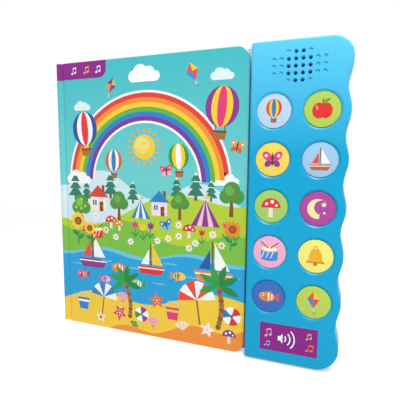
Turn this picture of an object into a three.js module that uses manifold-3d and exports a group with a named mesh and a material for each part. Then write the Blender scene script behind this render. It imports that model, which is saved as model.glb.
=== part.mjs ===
// A child's sound book that stands on its lower edge, with its front towards -Y.
// A hard case of two boards and a spine holds a block of card pages. A moulded sound module with ten push
// buttons stands beside the pages and is screwed on through the back board.
// Lengths are in millimetres. Every piece is drawn with the book lying on its back: x runs from the spine to
// the module, y from the lower edge to the upper edge, and z from the back of the book to its front.

import * as THREE from 'three';
import { mergeVertices } from 'three/addons/utils/BufferGeometryUtils.js';
import Module from 'manifold-3d';

const wasm = await Module();
wasm.setup();

// Case: two boards and a spine in one printed wrap
const coverWidth = 191; // spine's outer face to the front cover's fore edge
const boardThickness = 2.5;
const boardRounding = 0.6;
const coverCornerRadius = 10.5;
const shoulderWidth = 5; // ridge of the spine beside the groove
const grooveWidth = 5; // flexible joint between ridge and board
const grooveDepth = 1;
const wrapThickness = 0.7;
const spineThickness = 2.2;
const spineRounding = 1.3;
const spineInset = 0.2; // ridge below the face of the boards

// Pages
const leafCount = 8;
const leafThickness = 0.86;
const leafNotch = 0.2; // depth of the seam between two leaves
const pageSetback = 2.6; // pages stop short of the covers on three sides
const pageCornerRadius = 9;
const gutterCornerRadius = 0.6;

// Sound module
const moduleGap = 1.6; // front cover's fore edge to the module
const moduleWidth = 74.6; // side next to the pages to the crest of the scallops
const rowPitch = 37; // rows of buttons, and crests of the scallops beside them
const moduleLift = 1; // module above the lower edge of the boards
const moduleProud = 5.9; // module's face above the front cover
const shellWall = 1.8;
const shellFace = 2;
const shellRounding = 1.8;
const shellDraft = 0.3; // side walls lean in by this much from back to front
const upperCornerRadius = 15.7;
const lowerCornerRadius = 18.7;
const pageSideCornerRadius = 2.4;
const scallopDepth = 3.1; // crest to valley
const backMargin = 0.6; // back board stands out past the scallops
const clearance = 0.3; // between pieces that meet

// Buttons
const buttonRows = 5;
const buttonColumns = 2;
const buttonRadius = 13;
const columnPitch = 35.3;
const buttonFit = 0.25; // ring gap around a cap
const wellWidth = 1.1; // bevelled rim around a cap
const wellDepth = 0.9;
const capSink = 0.3; // cap's face below the module's face
const capRounding = 0.3;
const flangeWidth = 1.6;
const flangeThickness = 1;
const plungerRadius = 3;
const plungerLength = 2.8;
const domeRadius = 6;
const domeHeight = 2.5;
const domeRim = 0.6; // thickness of a dome's foot
const domeFootWidth = 1.2;
const domeNeckRadius = 3.4;
const domeNeckShare = 0.65; // height at which the flexible skirt meets the neck
const pillRadius = 2.4;
const pillShare = 0.45; // height of the contact pill inside a dome

// Speaker and its grille
const grillePitch = 5.25;
const grilleDrop = 20.05; // grille's centre below the module's upper edge
const shortRow = { holes: 4, open: 2 };
const longRow = { holes: 8, open: 4 };
const grilleRows = [shortRow, longRow, longRow, longRow, shortRow];
const dimpleRadius = 1.6;
const dimpleDepth = 0.8;
const soundHoleRadius = 1.05;
const speakerRadius = 17;
const speakerHeight = 6;
const speakerRimHeight = 1.1;
const speakerRimWidth = 2;
const speakerSheet = 0.6;
const basketFlare = 3; // rim overhangs the basket by this much
const coneDepth = 2.4;
const coneThickness = 0.4;
const coneSurround = 2;
const magnetRadius = 8;
const magnetHeight = 3.4;
const basketSeat = 1; // basket's back reaches this far inside and outside the magnet's rim
const ringHeight = 3.4; // wall of the shell around the speaker
const ringThickness = 1.2;

// Circuit board and the posts that carry it
const circuitThickness = 1.2;
const circuitMargin = 3.5; // inside the shell's walls
const circuitGap = 2.15; // below the speaker
const circuitReach = 15.5; // past the centres of the lowest row
const circuitCornerRadius = 1;
const postRadius = 2.6;
const stakeRadius = 1.2;
const stakeHeadRadius = 2.2;
const stakeHeadHeight = 1;
const chipRadius = 5.5;
const chipHeight = 1.8;

// Screws
const screwRadius = 1.25;
const screwLength = 9;
const screwHeadRadius = 2.6;
const screwHeadHeight = 1.2;
const driveWidth = 0.7; // cross recess in the head
const driveLength = 3;
const driveDepth = 0.6;
const bossRadius = 3.1;
const bossInset = 2.6; // boss clear of the wall

// Battery compartment, open towards the back
const cellRadius = 5.8;
const cellLength = 5.4;
const cellCount = 3;
const cellRounding = 0.5;
const boxWall = 1.5;
const boxFront = 1; // wall between the cells and the module's face
const boxRise = 20.5; // compartment's centre above the module's lower side
const boxFlange = 1.6;
const doorThickness = 1.4;
const doorScrewLength = 6;
const doorHeadHeight = 0.7;
const contactThickness = 0.5;
const contactReach = 4.3; // half the side of a contact plate
const tabWidth = 2.4;
const tabReach = 1.6; // contact's tab past the compartment's wall
const springLength = 2.6;
const springRadius = 3;
const springWire = 0.6;
const springTurns = 3;

// Wires between the circuit board, the speaker and the contacts
const wireDiameter = 1;
const wireOverlap = 5; // wire's end under the circuit board
const speakerWireSpacing = 9;

// Levels from the book's back to its front
const pageBack = boardThickness + clearance;
const pageFront = pageBack + leafCount * leafThickness;
const frontCoverBack = pageFront + clearance;
const frontCoverFace = frontCoverBack + boardThickness;
const moduleFace = frontCoverFace + moduleProud;
const shellBack = boardThickness + clearance;
const shellInside = moduleFace - shellFace;
const flangeFront = shellInside - clearance;
const flangeBack = flangeFront - flangeThickness;
const plungerEnd = flangeBack - plungerLength;
const domeTop = plungerEnd - clearance;
const domeFoot = domeTop - domeHeight;
const circuitFront = domeFoot - clearance;
const circuitBack = circuitFront - circuitThickness;
const speakerRim = shellInside - clearance;
const speakerBack = speakerRim - speakerHeight;
const doorBack = clearance;
const doorFront = doorBack + doorThickness;
const doorSeat = doorFront + clearance;
const cellAxis = doorSeat + cellRadius;
const troughFront = cellAxis + cellRadius + clearance;

// Places across the book
const boardStart = shoulderWidth + grooveWidth;
const moduleLeft = coverWidth + moduleGap;
const moduleRight = moduleLeft + moduleWidth;
const centreLine = moduleLeft + (moduleWidth - scallopDepth / 2) / 2;
const lowestCrest = moduleLift + lowerCornerRadius;
const highestCrest = lowestCrest + (buttonRows + 1) * rowPitch;
const moduleTop = highestCrest + upperCornerRadius;
const coverHeight = moduleTop; // level with the module's upper edge
const topRow = highestCrest - rowPitch;
const lowestRow = lowestCrest + rowPitch;
const grilleY = moduleTop - grilleDrop;
const circuitBottom = lowestRow - circuitReach;
const circuitTop = grilleY - speakerRadius - circuitGap;

// The compartment holds a contact, the spring, the cells and the other contact, then the door's screw
const cellPitch = cellLength + clearance;
const boxY = moduleLift + boxRise;
const troughHalf = cellRadius + clearance;
const troughLength = springLength + cellCount * cellPitch + 2 * contactThickness + 4 * clearance;
const bayLength = 2 * (screwHeadRadius + boxWall);
const boxLeft = centreLine - (troughLength + bayLength) / 2;
const troughRight = boxLeft + troughLength;
const boxRight = troughRight + bayLength;
const minusContact = boxLeft + clearance;
const springStart = minusContact + contactThickness + clearance;
const cellStart = springStart + springLength + clearance;
const plusContact = troughRight - clearance - contactThickness;
const doorScrewX = troughRight + bayLength / 2;

// Facets of round pieces
const buttonFacets = 24;
const speakerFacets = 24;
const cellFacets = 16;
const smallFacets = 10;
const wireFacets = 6;
const cornerSteps = 6;
const scallopSteps = 8;
const roundingSteps = 4;
const overrun = 1; // cutting bodies run past what they cut

function paint(color, roughness, metalness = 0) {
  return new THREE.MeshStandardMaterial({ color, roughness, metalness });
}

const materials = {
  cover: paint(0x45c0c6, 0.45),
  pages: paint(0xf4f1e8, 0.8),
  shell: paint(0x12b0dc, 0.35),
  boxPlastic: paint(0x12a4cf, 0.4),
  circuit: paint(0x2f7d46, 0.5),
  chip: paint(0x141416, 0.4),
  silicone: paint(0xd9dadb, 0.7),
  steel: paint(0xb9bcc2, 0.35, 0.9),
  speakerPaper: paint(0x2a2a2c, 0.8),
  wireRed: paint(0xb3261e, 0.5),
  wireBlack: paint(0x1b1b1d, 0.5),
};
const buttonColours = [
  0xb9d7f2, 0xb9d55c, 0xfbdc66, 0x9fcdf0, 0xa5d06e, 0xb94fa5, 0xf9b3d3, 0xfdf384, 0x416fbd, 0xbdd75b,
];

const book = new THREE.Group();

function place(name, geometry, material) {
  const mesh = new THREE.Mesh(geometry, material);
  mesh.name = name;
  book.add(mesh);
}

// A closed surface as a solid that can be joined and cut
function solid(geometry) {
  const bare = geometry.clone();
  bare.deleteAttribute('normal');
  bare.deleteAttribute('uv');
  const merged = mergeVertices(bare, 1e-4);
  const corners = merged.index.array;
  const kept = [];
  for (let i = 0; i < corners.length; i += 3) {
    const [a, b, c] = [corners[i], corners[i + 1], corners[i + 2]];
    if (a !== b && b !== c && c !== a) kept.push(a, b, c);
  }
  return new wasm.Manifold(new wasm.Mesh({
    numProp: 3,
    vertProperties: new Float32Array(merged.attributes.position.array),
    triVerts: new Uint32Array(kept),
  }));
}

function surface(body) {
  const mesh = body.getMesh();
  const geometry = new THREE.BufferGeometry();
  geometry.setAttribute('position', new THREE.Float32BufferAttribute(mesh.vertProperties, 3));
  geometry.setIndex(new THREE.Uint32BufferAttribute(mesh.triVerts, 1));
  geometry.computeVertexNormals();
  return geometry;
}

const join = (first, ...rest) => rest.reduce((whole, geometry) => whole.add(solid(geometry)), first);
const cut = (first, ...rest) => rest.reduce((whole, geometry) => whole.subtract(solid(geometry)), first);

// A solid of revolution about the upright line through (x, y), from a profile of [radius, height] pairs
function turned(profile, facets, x = 0, y = 0) {
  const points = profile.map(([radius, height]) => new THREE.Vector2(radius, height));
  return new THREE.LatheGeometry(points, facets).rotateX(Math.PI / 2).translate(x, y, 0);
}

function disc(radius, from, to, facets, x, y) {
  return turned([[0, from], [radius, from], [radius, to], [0, to]], facets, x, y);
}

function block([x0, x1], [y0, y1], [z0, z1]) {
  const geometry = new THREE.BoxGeometry(x1 - x0, y1 - y0, z1 - z0);
  return geometry.translate((x0 + x1) / 2, (y0 + y1) / 2, (z0 + z1) / 2);
}

const about = (centre, half) => [centre - half, centre + half];

// A section in x and z, pushed along the book's height
function alongHeight(section, from, to) {
  const depth = to - from;
  const geometry = new THREE.ExtrudeGeometry(new THREE.Shape(section), { depth, bevelEnabled: false });
  return geometry.rotateX(Math.PI / 2).translate(0, to, 0);
}

// An arc's points, both ends included
function arc(x, y, radius, from, to, steps) {
  return Array.from({ length: steps + 1 }, (_, i) => {
    const angle = from + ((to - from) * i) / steps;
    return new THREE.Vector2(x + radius * Math.cos(angle), y + radius * Math.sin(angle));
  });
}

const quarter = Math.PI / 2;
const withoutRepeats = (points) => points.filter((point, i) => point.distanceTo(points.at(i - 1)) > 1e-4);

// A rectangle whose corners have their own radii: lower left, lower right, upper right, upper left
function roundedRectangle([x0, x1], [y0, y1], [r0, r1, r2, r3], steps = cornerSteps) {
  return withoutRepeats([
    ...arc(x0 + r0, y0 + r0, r0, -2 * quarter, -quarter, steps),
    ...arc(x1 - r1, y0 + r1, r1, -quarter, 0, steps),
    ...arc(x1 - r2, y1 - r2, r2, 0, quarter, steps),
    ...arc(x0 + r3, y1 - r3, r3, quarter, 2 * quarter, steps),
  ]);
}

// An anticlockwise outline whose edges all move inwards by the same distance
function insetOutline(outline, inset) {
  return outline.map((point, i) => {
    const arriving = point.clone().sub(outline.at(i - 1)).normalize();
    const leaving = outline[(i + 1) % outline.length].clone().sub(point).normalize();
    const inwards = new THREE.Vector2(-arriving.y - leaving.y, arriving.x + leaving.x).normalize();
    const reach = inset / (inwards.y * arriving.x - inwards.x * arriving.y);
    return point.clone().addScaledVector(inwards, reach);
  });
}

// A plate through one outline at several levels, each [inset, height], closed at both ends
function layeredPlate(outline, levels) {
  const rings = levels.map(([inset]) => insetOutline(outline, inset));
  const positions = levels.flatMap(([, z], k) => rings[k].flatMap((point) => [point.x, point.y, z]));
  const count = outline.length;
  const indices = [];
  for (let k = 0; k + 1 < levels.length; k += 1) {
    for (let i = 0; i < count; i += 1) {
      const [a, b] = [k * count + i, k * count + ((i + 1) % count)];
      indices.push(a, b, b + count, a, b + count, a + count);
    }
  }
  const last = (levels.length - 1) * count;
  const { triangulateShape } = THREE.ShapeUtils;
  for (const [a, b, c] of triangulateShape(rings[0], [])) indices.push(a, c, b);
  for (const [a, b, c] of triangulateShape(rings.at(-1), [])) indices.push(last + a, last + b, last + c);
  const geometry = new THREE.BufferGeometry();
  geometry.setAttribute('position', new THREE.Float32BufferAttribute(positions, 3));
  geometry.setIndex(indices);
  geometry.computeVertexNormals();
  return geometry;
}

// The scalloped side from the lower edge to the upper: a round corner, a wave with one crest for each row of
// buttons and one at each end, and a round corner again
function scallopedSide(crest, low, high) {
  const [lowerRadius, upperRadius] = [lowestCrest - low, high - highestCrest];
  const steps = (buttonRows + 1) * scallopSteps;
  const wave = Array.from({ length: steps + 1 }, (_, i) => {
    const dip = (scallopDepth / 2) * (1 - Math.cos((2 * Math.PI * i) / scallopSteps));
    return new THREE.Vector2(crest - dip, lowestCrest + (i / scallopSteps) * rowPitch);
  });
  return [
    ...arc(crest - lowerRadius, lowestCrest, lowerRadius, -quarter, 0, cornerSteps),
    ...wave,
    ...arc(crest - upperRadius, highestCrest, upperRadius, 0, quarter, cornerSteps),
  ];
}

function moduleOutline() {
  const radius = pageSideCornerRadius;
  return withoutRepeats([
    ...scallopedSide(moduleRight, moduleLift, moduleTop),
    ...arc(moduleLeft + radius, moduleTop - radius, radius, quarter, 2 * quarter, roundingSteps),
    ...arc(moduleLeft + radius, moduleLift + radius, radius, 2 * quarter, 3 * quarter, roundingSteps),
  ]);
}

// Places that repeat

const range = (count) => Array.from({ length: count }, (_, i) => i);
const columnX = (column) => centreLine + (column - (buttonColumns - 1) / 2) * columnPitch;
const buttonPlaces = range(buttonRows).flatMap((row) => (
  range(buttonColumns).map((column) => [columnX(column), topRow - row * rowPitch])
));

// Posts stand between the rows of buttons
const postPlaces = range(buttonRows - 1).map((row) => [centreLine, topRow - (row + 0.5) * rowPitch]);

function caseScrewPlaces() {
  const inset = shellWall + bossInset + bossRadius;
  const [near, far] = [moduleLeft + inset, moduleRight - scallopDepth - inset];
  const [low, high] = [moduleLift + inset, moduleTop - inset];
  const middle = lowestRow + (Math.floor(buttonRows / 2) - 0.5) * rowPitch;
  return [
    [near, high], [moduleRight - upperCornerRadius, high],
    [near, middle], [far, middle],
    [near, low], [moduleRight - lowerCornerRadius, low],
  ];
}

// The middle holes of a row go right through and the outer ones are only dimples
const grillePlaces = grilleRows.flatMap(({ holes, open }, row) => range(holes).map((i) => {
  const step = i - (holes - 1) / 2;
  const y = grilleY + ((grilleRows.length - 1) / 2 - row) * grillePitch;
  return { x: centreLine + step * grillePitch, y, through: Math.abs(step) < open / 2 };
}));

// Case and pages

function frontCover() {
  const [square, corner] = [2 * boardRounding, coverCornerRadius];
  const radii = [square, corner, corner, square];
  const outline = roundedRectangle([boardStart, coverWidth], [0, coverHeight], radii);
  return layeredPlate(outline, [
    [boardRounding / 2, frontCoverBack],
    [0, frontCoverBack + boardRounding / 2],
    [0, frontCoverFace - boardRounding],
    [boardRounding * 0.3, frontCoverFace - boardRounding * 0.3],
    [boardRounding, frontCoverFace],
  ]);
}

// Head and shank of a screw whose head starts at the given level, widened by a clearance for its hole
function screwProfile(head, headHeight, length, room) {
  return [
    [0, head],
    [screwHeadRadius + room, head],
    [screwHeadRadius + room, head + headHeight + room],
    [screwRadius + room, head + headHeight + room],
    [screwRadius + room, head + headHeight + length],
    [0, head + headHeight + length],
  ];
}

function backCover() {
  const outline = withoutRepeats([
    new THREE.Vector2(boardStart, 0),
    ...scallopedSide(moduleRight + backMargin, 0, coverHeight),
    new THREE.Vector2(boardStart, coverHeight),
  ]);
  const board = solid(layeredPlate(outline, [
    [boardRounding, 0],
    [boardRounding * 0.3, boardRounding * 0.3],
    [0, boardRounding],
    [0, boardThickness],
  ]));
  const opening = block(
    [boxLeft - boxWall - clearance, boxRight + boxWall + clearance],
    about(boxY, troughHalf + boxWall + clearance),
    [-overrun, boardThickness + overrun],
  );
  const screwHoles = caseScrewPlaces().flatMap(([x, y]) => [
    turned(screwProfile(0, screwHeadHeight, screwLength, clearance), smallFacets, x, y),
    disc(screwHeadRadius + clearance, -overrun, overrun / 2, smallFacets, x, y),
  ]);
  return surface(cut(board, opening, ...screwHoles));
}

function spine() {
  const [back, front] = [spineInset, frontCoverFace - spineInset];
  const rim = spineRounding;
  const section = [
    new THREE.Vector2(shoulderWidth, back + rim),
    new THREE.Vector2(shoulderWidth, boardThickness),
    new THREE.Vector2(spineThickness, boardThickness),
    new THREE.Vector2(spineThickness, frontCoverBack),
    new THREE.Vector2(shoulderWidth, frontCoverBack),
    ...arc(shoulderWidth - rim, front - rim, rim, 0, quarter, roundingSteps),
    ...arc(rim, front - rim, rim, quarter, 2 * quarter, roundingSteps),
    ...arc(rim, back + rim, rim, 2 * quarter, 3 * quarter, roundingSteps),
    ...arc(shoulderWidth - rim, back + rim, rim, -quarter, 0, roundingSteps),
  ];
  return alongHeight(withoutRepeats(section), 0, coverHeight);
}

// The flexible joint dips from the level of the ridge towards the pages, and inwards is +1 or -1
function jointStrip(level, inwards) {
  const [from, to] = [shoulderWidth + clearance, boardStart - clearance];
  const dip = (t) => level + inwards * grooveDepth * Math.sin(Math.PI * t);
  const steps = range(scallopSteps + 1).map((i) => i / scallopSteps);
  const face = (depth) => steps.map((t) => new THREE.Vector2(from + (to - from) * t, dip(t) + depth));
  return alongHeight([...face(0), ...face(inwards * wrapThickness).reverse()], 0, coverHeight);
}

function pageBlock() {
  const [gutter, corner] = [gutterCornerRadius, pageCornerRadius];
  const outline = roundedRectangle(
    [spineThickness + clearance, coverWidth - pageSetback],
    [pageSetback, coverHeight - pageSetback],
    [gutter, corner, corner, gutter],
    roundingSteps,
  );
  const levels = [[0, pageBack]];
  for (let leaf = 1; leaf < leafCount; leaf += 1) {
    const seam = pageBack + leaf * leafThickness;
    levels.push([0, seam - leafNotch / 2], [leafNotch, seam], [0, seam + leafNotch / 2]);
  }
  levels.push([0, pageFront]);
  return layeredPlate(outline, levels);
}

// Module's moulded shell

function buttonWell([x, y]) {
  const hole = buttonRadius + buttonFit;
  return turned([
    [0, shellInside - overrun],
    [hole, shellInside - overrun],
    [hole, moduleFace - wellDepth],
    [hole + wellWidth, moduleFace],
    [hole + wellWidth, moduleFace + overrun],
    [0, moduleFace + overrun],
  ], buttonFacets, x, y);
}

function grilleHole({ x, y, through }) {
  const floor = moduleFace - dimpleDepth;
  const back = shellInside - overrun;
  const bore = through ? [[0, back], [soundHoleRadius, back]] : [[0, floor]];
  return turned([
    ...bore,
    [soundHoleRadius, floor],
    [dimpleRadius, moduleFace],
    [dimpleRadius, moduleFace + overrun],
    [0, moduleFace + overrun],
  ], smallFacets, x, y);
}

// A post meets the circuit board, and its staked end holds the board from behind
function post([x, y]) {
  const stakeHead = circuitBack - clearance;
  return turned([
    [0, stakeHead - stakeHeadHeight],
    [stakeHeadRadius, stakeHead - stakeHeadHeight],
    [stakeHeadRadius, stakeHead],
    [stakeRadius, stakeHead],
    [stakeRadius, circuitFront + clearance],
    [postRadius, circuitFront + clearance],
    [postRadius, shellInside + shellFace / 2],
    [0, shellInside + shellFace / 2],
  ], smallFacets, x, y);
}

function speakerRing() {
  const [inner, outer] = [speakerRadius + clearance, speakerRadius + clearance + ringThickness];
  return turned([
    [inner, shellInside - ringHeight],
    [outer, shellInside - ringHeight],
    [outer, shellInside + shellFace / 2],
    [inner, shellInside + shellFace / 2],
    [inner, shellInside - ringHeight],
  ], speakerFacets, centreLine, grilleY);
}

function frontHousing() {
  const outline = moduleOutline();
  const rounded = range(roundingSteps + 1).map((i) => {
    const angle = (quarter * i) / roundingSteps;
    return [
      shellDraft + shellRounding * (1 - Math.cos(angle)),
      moduleFace - shellRounding * (1 - Math.sin(angle)),
    ];
  });
  const outside = solid(layeredPlate(outline, [[0, shellBack], ...rounded]));
  const hollow = layeredPlate(outline, [
    [shellWall, shellBack - overrun],
    [shellWall + shellDraft, shellInside],
  ]);
  const bosses = caseScrewPlaces().map(([x, y]) => (
    disc(bossRadius, shellBack, shellInside + shellFace / 2, smallFacets, x, y)
  ));
  const screwEnd = screwHeadHeight + screwLength;
  const pilots = caseScrewPlaces().map(([x, y]) => (
    disc(screwRadius + clearance / 2, shellBack - overrun, screwEnd + clearance, smallFacets, x, y)
  ));
  const shell = join(cut(outside, hollow), ...bosses, ...postPlaces.map(post), speakerRing());
  return surface(cut(shell, ...buttonPlaces.map(buttonWell), ...grillePlaces.map(grilleHole), ...pilots));
}

// Buttons and the rubber domes that return them

function button([x, y]) {
  const face = moduleFace - capSink;
  return turned([
    [0, plungerEnd],
    [plungerRadius, plungerEnd],
    [plungerRadius, flangeBack],
    [buttonRadius + flangeWidth, flangeBack],
    [buttonRadius + flangeWidth, flangeFront],
    [buttonRadius, flangeFront],
    [buttonRadius, face - capRounding],
    [buttonRadius - capRounding, face],
    [0, face],
  ], buttonFacets, x, y);
}

function rubberDome([x, y]) {
  return turned([
    [0, domeFoot + domeHeight * pillShare],
    [pillRadius, domeFoot + domeHeight * pillShare],
    [domeRadius - domeFootWidth, domeFoot],
    [domeRadius, domeFoot],
    [domeRadius, domeFoot + domeRim],
    [domeNeckRadius, domeFoot + domeHeight * domeNeckShare],
    [domeNeckRadius, domeTop],
    [0, domeTop],
  ], smallFacets, x, y);
}

// Circuit board

function circuitBoard() {
  const outline = roundedRectangle(
    [moduleLeft + shellWall + circuitMargin, moduleRight - scallopDepth - shellWall - circuitMargin],
    [circuitBottom, circuitTop],
    Array(4).fill(circuitCornerRadius),
    roundingSteps,
  );
  const plate = solid(layeredPlate(outline, [[0, circuitBack], [0, circuitFront]]));
  const around = (radius) => ([x, y]) => (
    disc(radius + clearance, circuitBack - overrun, circuitFront + overrun, smallFacets, x, y)
  );
  const stakeHoles = postPlaces.map(around(stakeRadius));
  const bossHoles = caseScrewPlaces().map(around(bossRadius));
  return surface(cut(plate, ...stakeHoles, ...bossHoles));
}

// The chip is bonded to the back of the board under a drop of resin
function soundChip() {
  const foot = circuitBack - clearance;
  return turned([
    [0, foot - chipHeight],
    [chipRadius * 0.55, foot - chipHeight * 0.85],
    [chipRadius * 0.88, foot - chipHeight * 0.45],
    [chipRadius, foot],
    [0, foot],
  ], smallFacets, columnX(0), lowestRow + rowPitch / 2);
}

// Speaker, facing the grille

function speakerFrame() {
  const shelf = speakerRim - speakerRimHeight;
  const [seat, waist] = [magnetRadius - basketSeat, magnetRadius + basketSeat];
  return turned([
    [seat, speakerBack],
    [waist, speakerBack],
    [speakerRadius - basketFlare, shelf],
    [speakerRadius, shelf],
    [speakerRadius, speakerRim],
    [speakerRadius - speakerRimWidth, speakerRim],
    [speakerRadius - speakerRimWidth, shelf + speakerSheet],
    [speakerRadius - basketFlare - speakerSheet, shelf + speakerSheet],
    [waist - speakerSheet, speakerBack + speakerSheet],
    [seat, speakerBack + speakerSheet],
    [seat, speakerBack],
  ], speakerFacets, centreLine, grilleY);
}

function speakerCone() {
  const edge = speakerRim - speakerRimHeight + speakerSheet + clearance;
  const reach = speakerRadius - speakerRimWidth - clearance;
  const mouth = reach - coneSurround;
  const throat = magnetRadius * 0.6;
  return turned([
    [0, edge - coneDepth],
    [throat, edge - coneDepth],
    [mouth, edge],
    [reach, edge],
    [reach, edge + coneThickness],
    [mouth, edge + coneThickness],
    [throat, edge - coneDepth + coneThickness],
    [throat / 2, edge - coneDepth + coneThickness * 2.5],
    [0, edge - coneDepth + coneThickness * 3],
  ], speakerFacets, centreLine, grilleY);
}

function speakerMagnet() {
  const front = speakerBack - clearance;
  return disc(magnetRadius, front - magnetHeight, front, speakerFacets, centreLine, grilleY);
}

// Battery compartment

function batteryBox() {
  const wide = about(boxY, troughHalf + boxWall);
  const inner = about(boxY, troughHalf);
  const deep = [doorBack, troughFront + boxFront];
  const tub = solid(block([boxLeft - boxWall, troughRight + boxWall], wide, deep));
  const bay = block([troughRight, boxRight + boxWall], wide, [doorBack, doorSeat + boxWall]);
  const flange = block(
    [boxLeft - boxWall - boxFlange, boxRight + boxWall + boxFlange],
    about(boxY, troughHalf + boxWall + boxFlange),
    [boardThickness + clearance, boardThickness + clearance + boxWall],
  );
  const screwEnd = doorSeat + doorScrewLength;
  const boss = disc(screwRadius + boxWall, doorSeat, screwEnd, smallFacets, doorScrewX, boxY);
  const trough = block([boxLeft, troughRight], inner, [-overrun, troughFront]);
  const recess = block([boxLeft, boxRight], inner, [-overrun, doorSeat]);
  const pilot = disc(screwRadius + clearance / 2, 0, screwEnd - boxWall, smallFacets, doorScrewX, boxY);
  const slots = [minusContact, plusContact].map((x) => block(
    [x - clearance, x + contactThickness + clearance],
    [boxY + contactReach, boxY + troughHalf + boxWall + overrun],
    about(cellAxis, tabWidth / 2 + clearance),
  ));
  return surface(cut(join(tub, bay, flange, boss), trough, recess, pilot, ...slots));
}

function batteryDoor() {
  const outline = roundedRectangle(
    [boxLeft + clearance, boxRight - clearance],
    about(boxY, troughHalf - clearance),
    Array(4).fill(boxWall / 2),
    roundingSteps,
  );
  const levels = [[clearance, doorBack], [0, doorBack + clearance], [0, doorFront]];
  const screwHole = screwProfile(0, doorHeadHeight, doorScrewLength, clearance);
  return surface(cut(solid(layeredPlate(outline, levels)), turned(screwHole, smallFacets, doorScrewX, boxY)));
}

function screw([x, y], headHeight, length) {
  const body = solid(turned(screwProfile(0, headHeight, length, 0), smallFacets, x, y));
  const depth = [-overrun, Math.min(driveDepth, headHeight / 2)];
  const cross = [[driveLength, driveWidth], [driveWidth, driveLength]].map(([wide, tall]) => (
    block(about(x, wide / 2), about(y, tall / 2), depth)
  ));
  return surface(cut(body, ...cross));
}

function batteryCell(index) {
  const from = cellStart + index * cellPitch;
  const to = from + cellLength;
  const profile = [
    [0, from],
    [cellRadius - cellRounding, from],
    [cellRadius, from + cellRounding],
    [cellRadius, to],
    [0, to],
  ];
  return turned(profile, cellFacets).rotateY(quarter).translate(0, boxY, cellAxis);
}

function contactPlate(x) {
  const thick = [x, x + contactThickness];
  const plate = solid(block(thick, about(boxY, contactReach), about(cellAxis, contactReach)));
  const tab = block(
    thick,
    [boxY, boxY + troughHalf + boxWall + tabReach],
    about(cellAxis, tabWidth / 2),
  );
  return surface(join(plate, tab));
}

// A round section with few sides, pushed along a curve
function wireAlong(curve, diameter, steps) {
  const section = new THREE.Shape(arc(0, 0, diameter / 2, 0, 4 * quarter, wireFacets).slice(0, wireFacets));
  return new THREE.ExtrudeGeometry(section, { steps, bevelEnabled: false, extrudePath: curve });
}

class SpringCurve extends THREE.Curve {
  getPoint(t) {
    const turn = 2 * Math.PI * springTurns * t;
    const x = springStart + springWire / 2 + (springLength - springWire) * t;
    const [across, up] = [springRadius * Math.cos(turn), springRadius * Math.sin(turn)];
    return new THREE.Vector3(x, boxY + across, cellAxis + up);
  }
}

const contactSpring = () => wireAlong(new SpringCurve(), springWire, springTurns * smallFacets);

// Wires end behind the circuit board, against its lower or upper edge

const wireLevel = circuitBack - clearance - wireDiameter / 2;

function contactWire(x) {
  const start = boxY + troughHalf + boxWall + tabReach + clearance;
  return wireAlong(new THREE.CatmullRomCurve3([
    new THREE.Vector3(x, start, cellAxis),
    new THREE.Vector3(x, start + (circuitBottom - start) / 3, cellAxis),
    new THREE.Vector3(x, circuitBottom, wireLevel),
    new THREE.Vector3(x, circuitBottom + wireOverlap, wireLevel),
  ]), wireDiameter, smallFacets);
}

function speakerWire(side) {
  const x = centreLine + (side * speakerWireSpacing) / 2;
  const waist = magnetRadius + basketSeat;
  const level = speakerBack - clearance - wireDiameter / 2;
  return wireAlong(new THREE.CatmullRomCurve3([
    new THREE.Vector3(x, grilleY - waist + wireDiameter / 4, level),
    new THREE.Vector3(x, grilleY - waist - wireDiameter * 2, level),
    new THREE.Vector3(x, circuitTop, wireLevel),
    new THREE.Vector3(x, circuitTop - wireOverlap, wireLevel),
  ]), wireDiameter, smallFacets);
}

place('front_cover', frontCover(), materials.cover);
place('back_cover', backCover(), materials.cover);
place('spine', spine(), materials.cover);
place('front_joint_strip', jointStrip(frontCoverFace - spineInset, -1), materials.cover);
place('back_joint_strip', jointStrip(spineInset, 1), materials.cover);
place('page_block', pageBlock(), materials.pages);
place('front_housing', frontHousing(), materials.shell);
buttonPlaces.forEach((position, i) => {
  place(`button_${i + 1}`, button(position), paint(buttonColours[i % buttonColours.length], 0.4));
  place(`rubber_dome_${i + 1}`, rubberDome(position), materials.silicone);
});
place('circuit_board', circuitBoard(), materials.circuit);
place('sound_chip', soundChip(), materials.chip);
place('speaker_frame', speakerFrame(), materials.steel);
place('speaker_cone', speakerCone(), materials.speakerPaper);
place('speaker_magnet', speakerMagnet(), materials.steel);
place('battery_box', batteryBox(), materials.boxPlastic);
place('battery_door', batteryDoor(), materials.boxPlastic);
place('door_screw', screw([doorScrewX, boxY], doorHeadHeight, doorScrewLength - overrun), materials.steel);
range(cellCount).forEach((i) => place(`battery_cell_${i + 1}`, batteryCell(i), materials.steel));
place('contact_minus', contactPlate(minusContact), materials.steel);
place('contact_plus', contactPlate(plusContact), materials.steel);
place('contact_spring', contactSpring(), materials.steel);
caseScrewPlaces().forEach((position, i) => {
  place(`case_screw_${i + 1}`, screw(position, screwHeadHeight, screwLength - overrun), materials.steel);
});
place('speaker_wire_red', speakerWire(1), materials.wireRed);
place('speaker_wire_black', speakerWire(-1), materials.wireBlack);
place('battery_wire_red', contactWire(plusContact + contactThickness / 2), materials.wireRed);
place('battery_wire_black', contactWire(minusContact + contactThickness / 2), materials.wireBlack);

// The book stands up, with the origin under the middle of the space that it fills
book.rotation.x = quarter;
book.position.set(-(moduleRight + backMargin) / 2, moduleFace / 2, 0);

export default book;
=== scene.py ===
"""Finishes, print and fine surfaces of a standing sound book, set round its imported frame."""

import cmath
import math

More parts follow.
